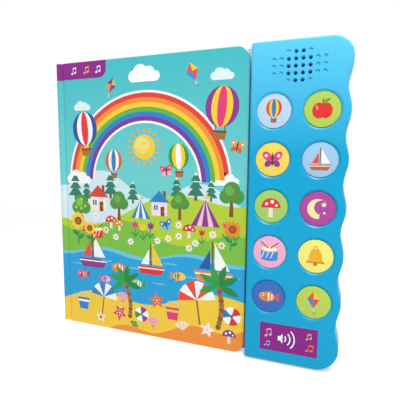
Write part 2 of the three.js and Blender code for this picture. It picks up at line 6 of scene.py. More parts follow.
import bmesh
import bpy
from bpy.props import FloatProperty, FloatVectorProperty, PointerProperty
from mathutils import Euler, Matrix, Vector


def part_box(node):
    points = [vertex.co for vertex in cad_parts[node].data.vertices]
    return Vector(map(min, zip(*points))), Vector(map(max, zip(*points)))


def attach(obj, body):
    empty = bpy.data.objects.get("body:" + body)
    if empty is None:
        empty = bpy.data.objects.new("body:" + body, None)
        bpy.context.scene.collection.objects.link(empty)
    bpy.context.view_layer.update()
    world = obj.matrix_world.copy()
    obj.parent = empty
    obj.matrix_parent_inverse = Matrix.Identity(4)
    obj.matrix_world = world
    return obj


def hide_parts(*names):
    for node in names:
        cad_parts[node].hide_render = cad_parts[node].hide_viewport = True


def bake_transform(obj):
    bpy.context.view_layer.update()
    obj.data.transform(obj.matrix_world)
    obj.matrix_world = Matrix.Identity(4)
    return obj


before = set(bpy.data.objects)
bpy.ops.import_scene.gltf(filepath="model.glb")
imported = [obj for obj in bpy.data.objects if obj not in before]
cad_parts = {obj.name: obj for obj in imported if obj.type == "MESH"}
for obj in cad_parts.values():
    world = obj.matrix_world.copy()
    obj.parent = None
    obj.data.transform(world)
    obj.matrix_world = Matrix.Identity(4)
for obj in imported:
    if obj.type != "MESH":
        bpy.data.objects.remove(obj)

bl_info = {
    "name": "Sound Book",
    "version": (1, 0, 0),
    "blender": (4, 5, 0),
    "location": "3D View > Sidebar > Sound Book",
    "description": "Makes the covers, pages, sound module and print of a child's sound book",
    "category": "Add Mesh",
}

MM = 0.001
TURN = 2 * math.pi
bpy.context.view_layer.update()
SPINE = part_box("spine")
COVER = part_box("front_cover")
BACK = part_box("back_cover")
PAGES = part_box("page_block")
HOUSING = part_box("front_housing")
LEFT, FLOOR = SPINE[0].x, SPINE[0].z
BEYOND = 1.0  # a distance in metres that lies outside the book on every side

# Heights between which a colour changes, and the look of the pages
SKY_FADE = (FLOOR + 0.15, FLOOR + 0.25)
# The plastic's fade is a painted highlight: paler towards the top, as if lit from above.
PLASTIC_HIGHLIGHT_FADE = (HOUSING[0].z + 0.17, HOUSING[1].z - 0.005)
PAGE_SHIFT = 1.7  # phase between the hills on the pages and those on the cover
LEAF_GAP_SHADE_SCALE = 365.0  # painted shade in the gaps between the leaves' edges, in lines 0.86 mm apart
LEAF_GAP_SHADE_SHARE = 0.6

ROW_COUNT, COLUMN_COUNT = 5, 2
BUTTON_COUNT = ROW_COUNT * COLUMN_COUNT
SCREW_COUNT = 6
# Holes in each row of the grille, and how many of its middle ones go right through
GRILLE_ROWS = ((4, 2), (8, 4), (8, 4), (8, 4), (4, 2))

# Numbers of steps that curves are drawn with
ROUND_FACETS = 96  # buttons, wells and the speaker's ring
SMALL_FACETS = 32  # grille holes, bosses and posts
WAVE_STEPS = 20  # each wave of the housing's side
JOINT_STEPS = 24  # across a joint strip
BEND_STEPS, BEND_END_STEPS = 12, 6  # the spine's outer side, and its edges beside the joints
LOW_CORNER_STEPS, HIGH_CORNER_STEPS, PAGE_CORNER_STEPS = 20, 18, 8  # the housing's corners
HOUSING_EDGE_STEPS, CAP_EDGE_STEPS = 8, 5  # the housing's front edge, and the edge of a button's face

# Inks
WHITE = "ffffff"
YELLOW = "fbd23c"
PURPLE = "8e3b8f"
ORANGE = "f58a2c"
PINK = "e8407c"
BLUE = "2f86cf"
RED = "e5352f"
NAVY = "2b57a5"
DARK_WOOD = "6b4a2f"
GREEN = "3f9b45"
SCARLET = "f04e3e"
RUST = "e5602a"
STALK_GREEN = "3c9a45"
CHESTNUT = "8a4b2a"
MIST = "e6f7f8"
ROSE = "f9b4d4"
LIGHT_GREEN = "63b84a"
BARK = "7d5330"
BRIGHT_BLUE = "3f8fe0"
CREAM = "fff3d6"
STEEL_BLUE = "2f7fbf"
APRICOT = "f7953a"
WOOD = "8a5a30"
LEAF_GREEN = "2f9347"
CORAL = "e5453c"
VERMILION = "e9403a"
WICKER = "a9713e"
WICKER_RIM = "7d4f2a"
PINE_GREEN = "2f7f6a"
NEAR_BLACK = "20242c"
POLE_BROWN = "9a6a3c"
STARFISH_RED = "f0694a"
PEACH = "fbd9a0"
SHELL_PINK = "f7b7c4"
SHELL_ROSE = "e77f9b"
AMBER = "f59b30"
UMBER = "3a2a24"
IVORY = "f6ead2"
ROOF_RED = "d9483b"
BLUSH = "f9c9dc"
GREY = "d8d8dc"
MOON_YELLOW = "fdf0a8"
BRASS = "f5b52e"
DARK_BRASS = "c9821b"
APPLE_SHINE = "f58a80"
APPLE_LEAF = "4aa83f"
DRUM_SKIN = "fff8ea"
VEIN_GREEN = "bfe39a"
TRUNK = "8a5a3a"
TRUNK_BAND = "a9744a"
PALM_GREEN = "1f8a3c"
PALM_LIGHT = "2fa04a"
SEED_BROWN = "b0682f"
RIPPLE_BLUE = "8fd6f2"
VIOLET = "7a3f9e"
SUN_GLOW = "fde27a"
GOLD = "f5a623"
LIME = "a8d36c"
GARDEN_GREEN = "4aa040"
GARDEN_LIGHT = "83c94e"
PALE_PINK = "fbe3ee"
LAKE_BLUE = "6cc9ec"
MINT = "8fd07a"
SANDSTONE = "f0b45a"
HULL_BROWN = "c2692e"
PALE_BLUE = "8fc7f2"
RAY_GOLD = "f7a92e"
PLATE_PURPLE = "8d1d8a"

# Plastic of the buttons' faces, in the order of their numbers
BUTTON_FACES = ("bfdcf5", "b9d75a", "fbdb62", "a3cff2", LIME, "b44aa2", ROSE, "fdf283", "3f6fbe", "bdd95a")


def linear(code):
    """A colour written as six hexadecimal digits, as linear light."""
    values = [int(code[i:i + 2], 16) / 255 for i in (0, 2, 4)]
    return tuple(v / 12.92 if v <= 0.04045 else ((v + 0.055) / 1.055) ** 2.4 for v in values)


def colour(name, text, code):
    """A colour setting with its name, its description and its default."""
    return FloatVectorProperty(
        name=name, description=text, subtype="COLOR", size=3, min=0, max=1, default=linear(code),
    )


def length(name, text, size):
    """A length setting in metres, whose default is written in millimetres."""
    return FloatProperty(name=name, description=text, default=size * MM, min=0, unit="LENGTH")


class SoundBookSizes(bpy.types.PropertyGroup):
    """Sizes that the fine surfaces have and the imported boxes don't give."""
    # Spine and joints
    groove: length("Groove depth", "Dip of the joint beside the spine", 1.5)
    wrap: length("Wrap thickness", "Thickness of the flexible joint", 0.7)
    joint_tuck: length("Joint tuck", "Reach of a joint strip into the spine and into the board", 0.3)
    joint_sink: length("Joint sink", "Step from a board's face down to the joint strip", 0.2)
    spine_bend: length("Spine bend", "Rounding of the spine's outer side", 3.0)
    spine_edge: length("Spine edge", "Rounding of the spine beside the joints", 1.0)
    spine_board: length("Spine board", "Thickness of the spine", 2.2)
    # Cover and pages
    lining_depth: length("Lining depth", "Thickness of the lining inside the front cover", 0.3)
    tab_width: length("Tab width", "Corner tab, from the spine's outer face", 57.5)
    tab_height: length("Tab height", "Corner tab, from the cover's upper edge", 15.7)
    tab_corner: length("Tab corner", "Radius of the corner tab's free corner", 8.0)
    page_margin: length("Page margin", "White frame round a page's picture", 7.0)
    # Housing
    edge: length("Housing edge", "Rounding of the housing's front edge", 1.8)
    draft: length("Housing draft", "Lean of the housing's side walls", 0.3)
    wall: length("Housing wall", "Thickness of the housing's side walls", 1.8)
    face: length("Housing face", "Thickness of the housing's front", 2.0)
    scallop: length("Scallop depth", "Crest to valley of the wavy side", 3.1)
    page_corner: length("Page side corner", "Corner radius of the housing beside the pages", 2.4)
    overrun: length("Overrun", "Reach of a cutting shape past what it cuts", 1.0)
    # Wells and grille
    well_fit: length("Well gap", "Ring gap round a button", 0.25)
    well_width: length("Well bevel width", "Bevelled rim of a button's well", 1.6)
    well_depth: length("Well bevel depth", "Depth of the bevelled rim", 1.0)
    grille_pitch: length("Grille pitch", "Distance between the holes of the grille", 5.25)
    grille_drop: length("Grille drop", "Centre of the grille below the housing's upper edge", 20.05)
    dimple: length("Dimple radius", "Radius of a grille hole at the face", 1.6)
    dimple_depth: length("Dimple depth", "Depth of a blind hole", 0.8)
    bore: length("Bore radius", "Wide end of a tapered hole that goes right through", 1.4)
    # Supports inside the housing
    boss: length("Boss radius", "Screw boss behind the housing's face", 3.1)
    pilot: length("Pilot hole", "Radius of the hole in a screw boss", 1.3)
    post: length("Post radius", "Post that carries the circuit board", 2.6)
    stake: length("Stake radius", "Thin end of a post, through the circuit board", 1.2)
    stake_head: length("Stake head radius", "Flattened end of a stake, behind the circuit board", 2.2)
    stake_height: length("Stake head height", "Thickness of a stake's flattened end", 1.0)
    ring_wall: length("Ring wall", "Thickness of the ring round the speaker", 1.2)
    ring_height: length("Ring height", "Height of the ring round the speaker", 3.4)
    fit: length("Fit", "Gap between the housing and what it holds", 0.1)
    # Buttons
    flange: length("Button flange", "Hidden flange of a button past its face", 1.6)
    flange_depth: length("Flange depth", "Thickness of a button's flange", 1.0)
    cap_edge: length("Cap edge", "Rounding of a button's printed face", 0.35)
    cap_depth: length("Cap depth", "Face of a button to the front of its flange", 2.0)
    plunger: length("Plunger radius", "Radius of the stem behind a button", 3.0)
    # Print and label
    ink: length("Ink step", "Height of one layer of print over the next", 0.005)
    petal: length("Petal thickness", "Thickness of a daisy's petal and of a ray of the sun", 0.15)
    button_print: length("Button print", "Half size of the picture on a button", 9.6)
    label_across: length("Label place across", "Centre of the label off the housing's page side", 36.0)
    label_up: length("Label place up", "Centre of the label above the housing's lower edge", 22.0)
    label_width: length("Label width", "Width of the label", 45.6)
    label_height: length("Label height", "Height of the label", 23.4)


class SoundBookColours(bpy.types.PropertyGroup):
    """Colours of the print and the plastic."""
    sky: colour("Sky", "Upper part of the cover", "46c1c9")
    sky_low: colour("Low sky", "Sky near the hills", "6fd2d2")
    ice: colour("Ice", "Far snow hills", "d6eef5")
    hill: colour("Hill", "Sunny hills", "b7d433")
    meadow: colour("Meadow", "Near meadows", "7cc242")
    water: colour("Water", "Lake and sea", "18a5e0")
    shallow: colour("Shallows", "Pale water at the shore", LAKE_BLUE)
    sand: colour("Sand", "Beach", YELLOW)
    earth: colour("Earth", "Warm ground", APRICOT)
    # Painted highlight: the module's upper part is paler, as if lit from above.
    plastic_high: colour("Plastic above", "Upper part of the module", "5cd2fb")
    plastic_low: colour("Plastic below", "Lower part of the module", "00a9d9")
    plate: colour("Plate", "Corner tab", PLATE_PURPLE)
    page: colour("Page", "Card of the pages", "f6f3ea")
    # Painted shade in the gaps between the leaves' edges.
    leaf_line: colour("Leaf line", "Lines between the leaves' edges", "b9b2a4")
    back: colour("Back", "Back board's outside", "46c1c9")
    lining: colour("Lining", "Inside of both boards, and the back board's edge", "cfc6dd")


def book_sizes():
    """Sizes of this scene."""
    return bpy.context.scene.sound_book_sizes


def book_colours():
    """Colours of this scene."""
    return bpy.context.scene.sound_book_colours


def button_centre(number):
    """Centre of a button's face, on the face's own level."""
    low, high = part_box(f"button_{number}")
    return Vector(((low.x + high.x) / 2, low.y, (low.z + high.z) / 2))


# Shader node groups

def new_group(name, inputs, outputs):
    """A shader node group with named sockets, and its input and output nodes."""
    group = bpy.data.node_groups.new(name, "ShaderNodeTree")
    for label, kind, default in inputs:
        socket = group.interface.new_socket(name=label, in_out="INPUT", socket_type=f"NodeSocket{kind}")
        socket.default_value = default
    for label, kind in outputs:
        group.interface.new_socket(name=label, in_out="OUTPUT", socket_type=f"NodeSocket{kind}")
    return group, group.nodes.new("NodeGroupInput"), group.nodes.new("NodeGroupOutput")


def feed(tree, target, value):
    """Links an output to a socket, or sets the socket to a plain value. A plain colour gains its alpha."""
    if isinstance(value, bpy.types.NodeSocket):
        tree.links.new(value, target)
    elif target.type == "RGBA":
        target.default_value = (*value, 1.0)[:4]
    else:
        target.default_value = value


def calc(tree, operation, *values):
    """A Math node's result."""
    node = tree.nodes.new("ShaderNodeMath")
    node.operation = operation
    for socket, value in zip(node.inputs, values):
        feed(tree, socket, value)
    return node.outputs[0]


def mix(tree, factor, first, second):
    """A colour between the first and the second."""
    node = tree.nodes.new("ShaderNodeMix")
    node.data_type = "RGBA"
    colours = [socket for socket in node.inputs if socket.type == "RGBA"]
    feed(tree, node.inputs["Factor"], factor)
    feed(tree, colours[0], first)
    feed(tree, colours[1], second)
    return [socket for socket in node.outputs if socket.type == "RGBA"][0]


def place_in(tree):
    """A surface point's place in the row frame."""
    return tree.nodes.new("ShaderNodeTexCoord").outputs["Object"]


def axes_in(tree):
    """A surface point's place in the row frame, as separate X, Y and Z."""
    split = tree.nodes.new("ShaderNodeSeparateXYZ")
    tree.links.new(place_in(tree), split.inputs[0])
    return split.outputs


def surface_grain():
    """Fine unevenness of a surface: a varied colour, a varied roughness and a height."""
    group, start, end = new_group("surface_grain", [
        ("Color", "Color", (1, 1, 1, 1)), ("Variation", "Float", 0.05), ("Roughness", "Float", 0.4),
        ("Scale", "Float", 900.0), ("Patch Scale", "Float", 60.0),
    ], [("Color", "Color"), ("Roughness", "Float"), ("Height", "Float")])
    place = place_in(group)
    fine, patch = group.nodes.new("ShaderNodeTexNoise"), group.nodes.new("ShaderNodeTexNoise")
    for noise, label, detail in ((fine, "Scale", 4.0), (patch, "Patch Scale", 2.0)):
        group.links.new(place, noise.inputs["Vector"])
        group.links.new(start.outputs[label], noise.inputs["Scale"])
        noise.inputs["Detail"].default_value = detail
    fine_share = calc(group, "MULTIPLY", fine.outputs["Fac"], 0.4)
    patch_share = calc(group, "MULTIPLY", patch.outputs["Fac"], 0.6)
    offset = calc(group, "SUBTRACT", calc(group, "ADD", fine_share, patch_share), 0.5)
    swing = calc(group, "MULTIPLY", offset, start.outputs["Variation"])
    shade = calc(group, "ADD", 1.0, calc(group, "MULTIPLY", swing, 2.0))
    tint = group.nodes.new("ShaderNodeHueSaturation")
    group.links.new(start.outputs["Color"], tint.inputs["Color"])
    group.links.new(shade, tint.inputs["Value"])
    group.links.new(tint.outputs["Color"], end.inputs["Color"])
    group.links.new(calc(group, "ADD", start.outputs["Roughness"], swing), end.inputs["Roughness"])
    group.links.new(fine.outputs["Fac"], end.inputs["Height"])
    return group


def shore_line():
    """Mask of what lies below a wavy line across the print. Its height is given at the book's middle."""
    group, start, end = new_group("shore_line", [
        ("Height", "Float", 0.1), ("Slope", "Float", 0.0), ("Swing", "Float", 0.01),
        ("Wavelength", "Float", 0.12), ("Phase", "Float", 0.0),
    ], [("Mask", "Float")])
    axes = axes_in(group)
    waves = calc(group, "DIVIDE", axes["X"], start.outputs["Wavelength"])
    angle = calc(group, "ADD", calc(group, "MULTIPLY", waves, TURN), start.outputs["Phase"])
    swing = calc(group, "MULTIPLY", calc(group, "SINE", angle), start.outputs["Swing"])
    slope = calc(group, "MULTIPLY", axes["X"], start.outputs["Slope"])
    line = calc(group, "ADD", calc(group, "ADD", start.outputs["Height"], swing), slope)
    group.links.new(calc(group, "LESS_THAN", axes["Z"], line), end.inputs["Mask"])
    return group


def height_share():
    """Share of the way from one height to another."""
    inputs = [("Low", "Float", 0.0), ("High", "Float", 0.25)]
    group, start, end = new_group("height_share", inputs, [("Share", "Float")])
    share = group.nodes.new("ShaderNodeMapRange")
    group.links.new(axes_in(group)["Z"], share.inputs["Value"])
    group.links.new(start.outputs["Low"], share.inputs["From Min"])
    group.links.new(start.outputs["High"], share.inputs["From Max"])
    group.links.new(share.outputs["Result"], end.inputs["Share"])
    return group


def use(tree, build, **values):
    """Places a shared group, built on first use, with its own values. Underscores stand for spaces."""
    node = tree.nodes.new("ShaderNodeGroup")
    node.node_tree = bpy.data.node_groups.get(build.__name__) or build()
    for label, value in values.items():
        feed(tree, node.inputs[label.replace("_", " ").title()], value)
    return node


# Materials

def finish(
    name, base, roughness=0.4, variation=0.05, grain=900.0, patch=60.0, bump=0.02, metallic=0.0, coat=0.0,
):
    """A material with fine unevenness. base is a colour, or a function that builds one in its tree."""
    material = bpy.data.materials.get(name)
    if material:
        return material
    material = bpy.data.materials.new(name)
    material.use_nodes = True
    tree = material.node_tree
    shader = tree.nodes["Principled BSDF"]
    surface = use(
        tree, surface_grain, color=base(tree) if callable(base) else base, variation=variation,
        roughness=roughness, scale=grain, patch_scale=patch,
    )
    tree.links.new(surface.outputs["Color"], shader.inputs["Base Color"])
    tree.links.new(surface.outputs["Roughness"], shader.inputs["Roughness"])
    relief = tree.nodes.new("ShaderNodeBump")
    relief.inputs["Strength"].default_value = 1.0
    relief.inputs["Distance"].default_value = bump * MM
    tree.links.new(surface.outputs["Height"], relief.inputs["Height"])
    tree.links.new(relief.outputs["Normal"], shader.inputs["Normal"])
    shader.inputs["Metallic"].default_value = metallic
    shader.inputs["Specular IOR Level"].default_value = 0.3
    shader.inputs["Coat Weight"].default_value = coat
    shader.inputs["Coat Roughness"].default_value = 0.12
    return material


def ink(code):
    """Printed colour under the cover's laminate."""
    return finish(f"ink_{code}", linear(code), roughness=0.34, variation=0.05, patch=120.0, bump=0.01)


def scenery(tree, shift=0.0):
    """Ground colours of a picture, one over the other: sky, hills, meadow, water, beach and warm earth."""
    tones = book_colours()
    rise = use(tree, height_share, low=SKY_FADE[0], high=SKY_FADE[1]).outputs["Share"]
    picture = mix(tree, rise, tones.sky_low, tones.sky)
    # Colour, height, slope, swing and wavelength of the line that bounds it above, in metres, and its phase
    bands = (
        (tones.ice, 0.138, -0.10, 0.010, 0.100, 0.4),
        (tones.hill, 0.128, 0.16, 0.009, 0.150, 2.2),
        (tones.meadow, 0.098, -0.06, 0.008, 0.110, 5.0),
        (tones.shallow, 0.080, 0.02, 0.0035, 0.090, 1.0),
        (tones.water, 0.077, 0.02, 0.0035, 0.090, 1.3),
        (tones.sand, 0.040, 0.10, 0.006, 0.120, 0.2),
        (tones.earth, 0.012, 0.16, 0.004, 0.070, 0.9),
    )
    for tone, height, slope, swing, wavelength, phase in bands:
        below = use(
            tree, shore_line, height=FLOOR + height, slope=slope, swing=swing, wavelength=wavelength,
            phase=phase + shift,
        )
        picture = mix(tree, below.outputs["Mask"], picture, tone)
    return picture


def within(tree, low, high):
    """Mask of the space between two corners in the row frame."""
    mask = 1.0
    for place, start, end in zip(axes_in(tree), low, high):
        above, below = calc(tree, "GREATER_THAN", place, start), calc(tree, "LESS_THAN", place, end)
        mask = calc(tree, "MULTIPLY", mask, calc(tree, "MULTIPLY", above, below))
    return mask


def corner_tab(tree):
    """Mask of the tab in the cover's upper corner at the spine, with one round corner."""
    sizes, axes = book_sizes(), axes_in(tree)
    corner_x = LEFT + sizes.tab_width - sizes.tab_corner
    corner_z = COVER[1].z - sizes.tab_height + sizes.tab_corner
    past = calc(tree, "MAXIMUM", calc(tree, "SUBTRACT", axes["X"], corner_x), 0.0)
    under = calc(tree, "MAXIMUM", calc(tree, "SUBTRACT", corner_z, axes["Z"]), 0.0)
    reach = calc(tree, "ADD", calc(tree, "MULTIPLY", past, past), calc(tree, "MULTIPLY", under, under))
    return calc(tree, "LESS_THAN", reach, sizes.tab_corner ** 2)


def landscape(tree):
    """The cover's print: its scenery, the corner tab, and the plain lining inside."""
    tones = book_colours()
    picture = mix(tree, corner_tab(tree), scenery(tree), tones.plate)
    lining = COVER[1].y - book_sizes().lining_depth
    inside = within(tree, (COVER[0].x + MM, lining, -BEYOND), (BEYOND, COVER[1].y + MM, BEYOND))
    return mix(tree, inside, picture, tones.lining)


def back_print(tree):
    """The back board's outside in sky colour, and its inside and edge in the lining's."""
    tones = book_colours()
    outside = calc(tree, "GREATER_THAN", axes_in(tree)["Y"], BACK[1].y - 0.5 * MM)
    return mix(tree, outside, tones.lining, tones.back)


def module_plastic(tree):
    """Sky-blue plastic with a painted highlight: it grows paler towards the top, as if lit from above."""
    tones = book_colours()
    rise = use(tree, height_share, low=PLASTIC_HIGHLIGHT_FADE[0], high=PLASTIC_HIGHLIGHT_FADE[1]).outputs["Share"]
    return mix(tree, rise, tones.plastic_low, tones.plastic_high)


def page_card(tree):
    """White card with painted shade in lines between the leaves' edges, and a framed picture on its outer
    faces.
    """
    tones = book_colours()
    lines = tree.nodes.new("ShaderNodeTexWave")
    lines.bands_direction = "Y"
    lines.inputs["Scale"].default_value = LEAF_GAP_SHADE_SCALE
    lines.inputs["Distortion"].default_value = 0.6
    tree.links.new(place_in(tree), lines.inputs["Vector"])
    # How dark the painted shade between the leaves is.
    share = calc(tree, "MULTIPLY", lines.outputs["Fac"], LEAF_GAP_SHADE_SHARE)
    card = mix(tree, share, tones.page, tones.leaf_line)
    margin = Vector((book_sizes().page_margin, -MM, book_sizes().page_margin))
    middle = within(tree, PAGES[0] + margin, PAGES[1] - margin)
    return mix(tree, middle, card, scenery(tree, PAGE_SHIFT))


def paint_node(node, material):
    """Gives a frame node its material."""
    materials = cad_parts[node].data.materials
    materials.clear()
    materials.append(material)


# Mesh helpers

def linked(name, data):
    """A new object of the scene."""
    thing = bpy.data.objects.new(name, data)
    bpy.context.scene.collection.objects.link(thing)
    return thing


def shaded(name, mesh, materials, smooth):
    """A finished mesh as an object, smooth except at edges sharper than an angle in degrees."""
    for material in materials:
        mesh.materials.append(material)
    mesh.shade_smooth()
    mesh.set_sharp_from_angle(angle=math.radians(smooth))
    return linked(name, mesh)


def keep(name, mesh, body, materials, replaced=(), smooth=35):
    """A finished piece on its body, which stands for the frame nodes that it replaces."""
    piece = shaded(name, mesh, materials, smooth)
    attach(piece, body)
    if replaced:
        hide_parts(*replaced)
    return piece


def mesh_of(work, name):
    """The working mesh as plain mesh data, with its faces turned outwards."""
    bmesh.ops.recalc_face_normals(work, faces=work.faces)
    mesh = bpy.data.meshes.new(name)
    work.to_mesh(mesh)
    work.free()
    return mesh


def split_wide_faces(work):
    """Triangulates the faces with more than four corners, some of which are concave."""
    work.normal_update()
    bmesh.ops.triangulate(work, faces=[face for face in work.faces if len(face.verts) > 4])


def add_rings(work, rings, closed_ends=True):
    """Skins a stack of closed rings of points. Both ends are closed, or the last ring lies on the first."""
    rows = [[work.verts.new(point) for point in ring] for ring in rings]
    count = len(rows[0])
    for low, high in zip(rows, rows[1:]):
        for i in range(count):
            work.faces.new((low[i], low[(i + 1) % count], high[(i + 1) % count], high[i]))
    if closed_ends:
        work.faces.new(rows[0][::-1])
        work.faces.new(rows[-1])
    else:
        bmesh.ops.remove_doubles(work, verts=rows[0] + rows[-1], dist=0.01 * MM)


def turned(work, centre, profile, facets, closed_ends=True):
    """A closed turned body about centre, along Y. The profile has pairs of radius and depth."""
    steps = [cmath.rect(1, TURN * i / facets) for i in range(facets)]
    add_rings(work, [
        [(centre.x + radius * s.real, depth, centre.z + radius * s.imag) for s in steps]
        for radius, depth in profile
    ], closed_ends)


def rounded_edge(radius, steps):
    """Pairs of the distance inwards and the depth below a face, from the wall over its edge to the face."""
    angles = (TURN / 4 * i / steps for i in range(steps + 1))
    return [(radius * (1 - math.cos(a)), radius * (1 - math.sin(a))) for a in angles]


def arc(centre, radius, start, end, steps):
    """Points of an arc as complex numbers, with angles in quarter turns."""
    turns = (start + (end - start) * i / steps for i in range(steps + 1))
    return [centre + cmath.rect(radius, turn * TURN / 4) for turn in turns]


def inset(outline, distance):
    """An anticlockwise outline moved inwards."""
    moved = []
    for i, point in enumerate(outline):
        before, after = outline[i - 1], outline[(i + 1) % len(outline)]
        along = (point - before) / abs(point - before) + (after - point) / abs(after - point)
        moved.append(point + distance * 1j * along / abs(along))
    return moved


def plate(outline, levels):
    """A closed plate through one outline, at several levels of inset and depth."""
    work = bmesh.new()
    add_rings(work, [
        [(p.real, depth, p.imag) for p in inset(outline, distance)] for distance, depth in levels
    ])
    return mesh_of(work, "plate")


def combined(mesh, other, operation="DIFFERENCE"):
    """The mesh after a boolean operation with the other mesh."""
    body, tool = linked("body", mesh), linked("tool", other)
    modifier = body.modifiers.new("cut", "BOOLEAN")
    modifier.operation, modifier.solver, modifier.object = operation, "EXACT", tool
    result = bpy.data.meshes.new_from_object(body.evaluated_get(bpy.context.evaluated_depsgraph_get()))
    for thing in (body, tool):
        bpy.data.objects.remove(thing)
    return result


# Shapes of the print: flat outlines in units of a motif's half size

def oval(x, y, wide, tall=None, turn=0, count=24):
    """An ellipse with its half sizes, turned by quarter turns."""
    tall = wide if tall is None else tall
    swing = cmath.rect(1, turn * TURN / 4)
    steps = (TURN * i / count for i in range(count))
    return [complex(x, y) + swing * complex(wide * math.cos(a), tall * math.sin(a)) for a in steps]


def poly(*numbers):
    """A polygon from pairs of numbers."""
    return [complex(x, y) for x, y in zip(numbers[::2], numbers[1::2])]


def block(left, low, right, high):
    """A rectangle."""
    return poly(left, low, right, low, right, high, left, high)


def sector(x, y, inner, outer, start, end, count=24):
    """Part of a ring between two angles in quarter turns."""
    centre = complex(x, y)
    near = arc(centre, inner, end, start, count) if inner else [centre]
    return arc(centre, outer, start, end, count) + near


def spiky(x, y, outer, inner, points, turn=1.0):
    """A star with its outer and inner radius."""
    angles = (turn * TURN / 4 + TURN / 2 * i / points for i in range(2 * points))
    return [complex(x, y) + cmath.rect(inner if i % 2 else outer, a) for i, a in enumerate(angles)]


def cloud(shade=WHITE):
    """A flat-bottomed cloud."""
    return [
        (shade, oval(x, y, r))
        for x, y, r in ((-0.6, -0.05, 0.3), (-0.2, 0.14, 0.42), (0.3, 0.08, 0.36), (0.68, -0.08, 0.26))
    ] + [
        (shade, block(-0.65, -0.34, 0.7, 0.0)),
    ]


def air_balloon(main=NAVY, stripe=WHITE, middle=VERMILION):
    """A striped hot-air balloon with its basket on two ropes."""
    return [
        (DARK_WOOD, block(-0.2, -0.62, -0.16, -0.3)),
        (DARK_WOOD, block(0.16, -0.62, 0.2, -0.3)),
        (main, oval(0, 0.25, 0.62, 0.72)),
        (stripe, oval(0, 0.25, 0.4, 0.72)),
        (middle, oval(0, 0.25, 0.17, 0.72)),
        (WICKER, poly(-0.22, -0.9, 0.22, -0.9, 0.25, -0.6, -0.25, -0.6)),
        (WICKER_RIM, block(-0.25, -0.66, 0.25, -0.58)),
    ]


def round_tree(leaf=GREEN, light=LIGHT_GREEN, fruit=RED):
    """A round tree with fruit."""
    return [
        (BARK, poly(-0.12, -1, 0.12, -1, 0.08, 0, -0.08, 0)),
        (leaf, oval(-0.3, 0.1, 0.38)),
        (leaf, oval(0.32, 0.1, 0.38)),
        (leaf, oval(0, 0.45, 0.46)),
        (light, oval(-0.1, 0.42, 0.26)),
    ] + [
        (fruit, oval(x, y, 0.08, count=12))
        for x, y in ((-0.38, 0.1), (0.3, 0.2), (0.05, 0.62), (0.02, 0.05))
    ]


def pine(leaf=PINE_GREEN, snow=WHITE):
    """A pine in three tiers with snow on their tips."""
    parts = [(BARK, block(-0.09, -1, 0.09, -0.6))]
    for base, half, high in ((-0.7, 0.55, 0.7), (-0.25, 0.43, 0.6), (0.2, 0.32, 0.55)):
        parts.append((leaf, poly(-half, base, half, base, 0, base + high)))
        parts.append((snow, poly(
            -half * 0.36, base + high * 0.64, half * 0.36, base + high * 0.64,
            0, base + high,
        )))
    return parts


def tulip(head=PINK):
    """A tulip with two leaves."""
    return [
        (STALK_GREEN, block(-0.05, -1, 0.05, 0.2)),
        (STALK_GREEN, oval(0.24, -0.55, 0.3, 0.09, 0.6)),
        (STALK_GREEN, oval(-0.24, -0.62, 0.3, 0.09, -0.6)),
        (head, poly(
            -0.36, 0.75, -0.3, 0.15, 0, 0.0, 0.3, 0.15,
            0.36, 0.75, 0.16, 0.5, 0, 0.82, -0.16, 0.5,
        )),
    ]


def boat(sail=WHITE, other=SCARLET, hull=PURPLE):
    """A sailing boat with two sails and a pennant."""
    return [
        (DARK_WOOD, block(-0.03, -0.4, 0.04, 0.95)),
        (sail, poly(0.1, -0.25, 0.75, -0.25, 0.1, 0.85)),
        (other, poly(-0.1, -0.25, -0.1, 0.6, -0.6, -0.25)),
        (hull, poly(-0.85, -0.35, -0.6, -0.8, 0.6, -0.8, 0.9, -0.35)),
        (WHITE, poly(-0.8, -0.44, -0.77, -0.5, 0.82, -0.5, 0.86, -0.44)),
        (YELLOW, poly(0.04, 0.78, 0.3, 0.86, 0.04, 0.95)),
    ]


def fish(body=ORANGE, stripe=WHITE, fin=RUST):
    """A striped fish that swims to the left."""
    return [
        (fin, poly(0.45, 0, 0.95, 0.42, 0.85, 0, 0.95, -0.42)),
        (fin, poly(-0.1, 0.3, 0.35, 0.62, 0.3, 0.2)),
        (body, oval(-0.1, 0, 0.68, 0.42)),
        (stripe, oval(0.05, 0, 0.09, 0.39)),
        (stripe, oval(0.33, 0, 0.06, 0.3)),
        (WHITE, oval(-0.45, 0.12, 0.13, count=14)),
        (NEAR_BLACK, oval(-0.48, 0.12, 0.07, count=12)),
        (fin, oval(-0.12, -0.12, 0.16, 0.08, -0.4)),
    ]


def kite(one=SCARLET, two=YELLOW, three=BRIGHT_BLUE):
    """A kite in four panels with bows on its tail."""
    return [
        (one, poly(-0.5, 0.3, 0, 0.3, 0, 0.95)),
        (two, poly(0, 0.3, 0.5, 0.3, 0, 0.95)),
        (three, poly(-0.5, 0.3, 0, -0.5, 0, 0.3)),
        (one, poly(0, -0.5, 0.5, 0.3, 0, 0.3)),
        (WHITE, poly(-0.02, -0.5, 0.02, -0.5, 0.14, -0.95, 0.1, -0.95)),
        (two, oval(0.05, -0.66, 0.13, 0.06, 0.2, 10)),
        (three, oval(0.1, -0.88, 0.13, 0.06, -0.2, 10)),
    ]


def parasol(one=SCARLET, two=WHITE):
    """A beach parasol in six panels."""
    wedges = [
        (one if i % 2 else two, sector(0, 0.1, 0, 0.85, 2 * i / 6, 2 * (i + 1) / 6, 6))
        for i in range(6)
    ]
    return [(POLE_BROWN, block(-0.04, -1, 0.04, 0.2))] + wedges + [(one, oval(0, 0.97, 0.06, count=10))]


def starfish(body=STARFISH_RED, dot=PEACH):
    """A starfish with a dot on each arm."""
    dots = [
        (dot, oval(0.32 * math.cos(a), 0.32 * math.sin(a), 0.07, count=10))
        for a in (TURN / 4 + TURN * i / 5 for i in range(5))
    ]
    return [(body, spiky(0, 0, 0.95, 0.42, 5)), (dot, oval(0, 0, 0.1, count=10))] + dots


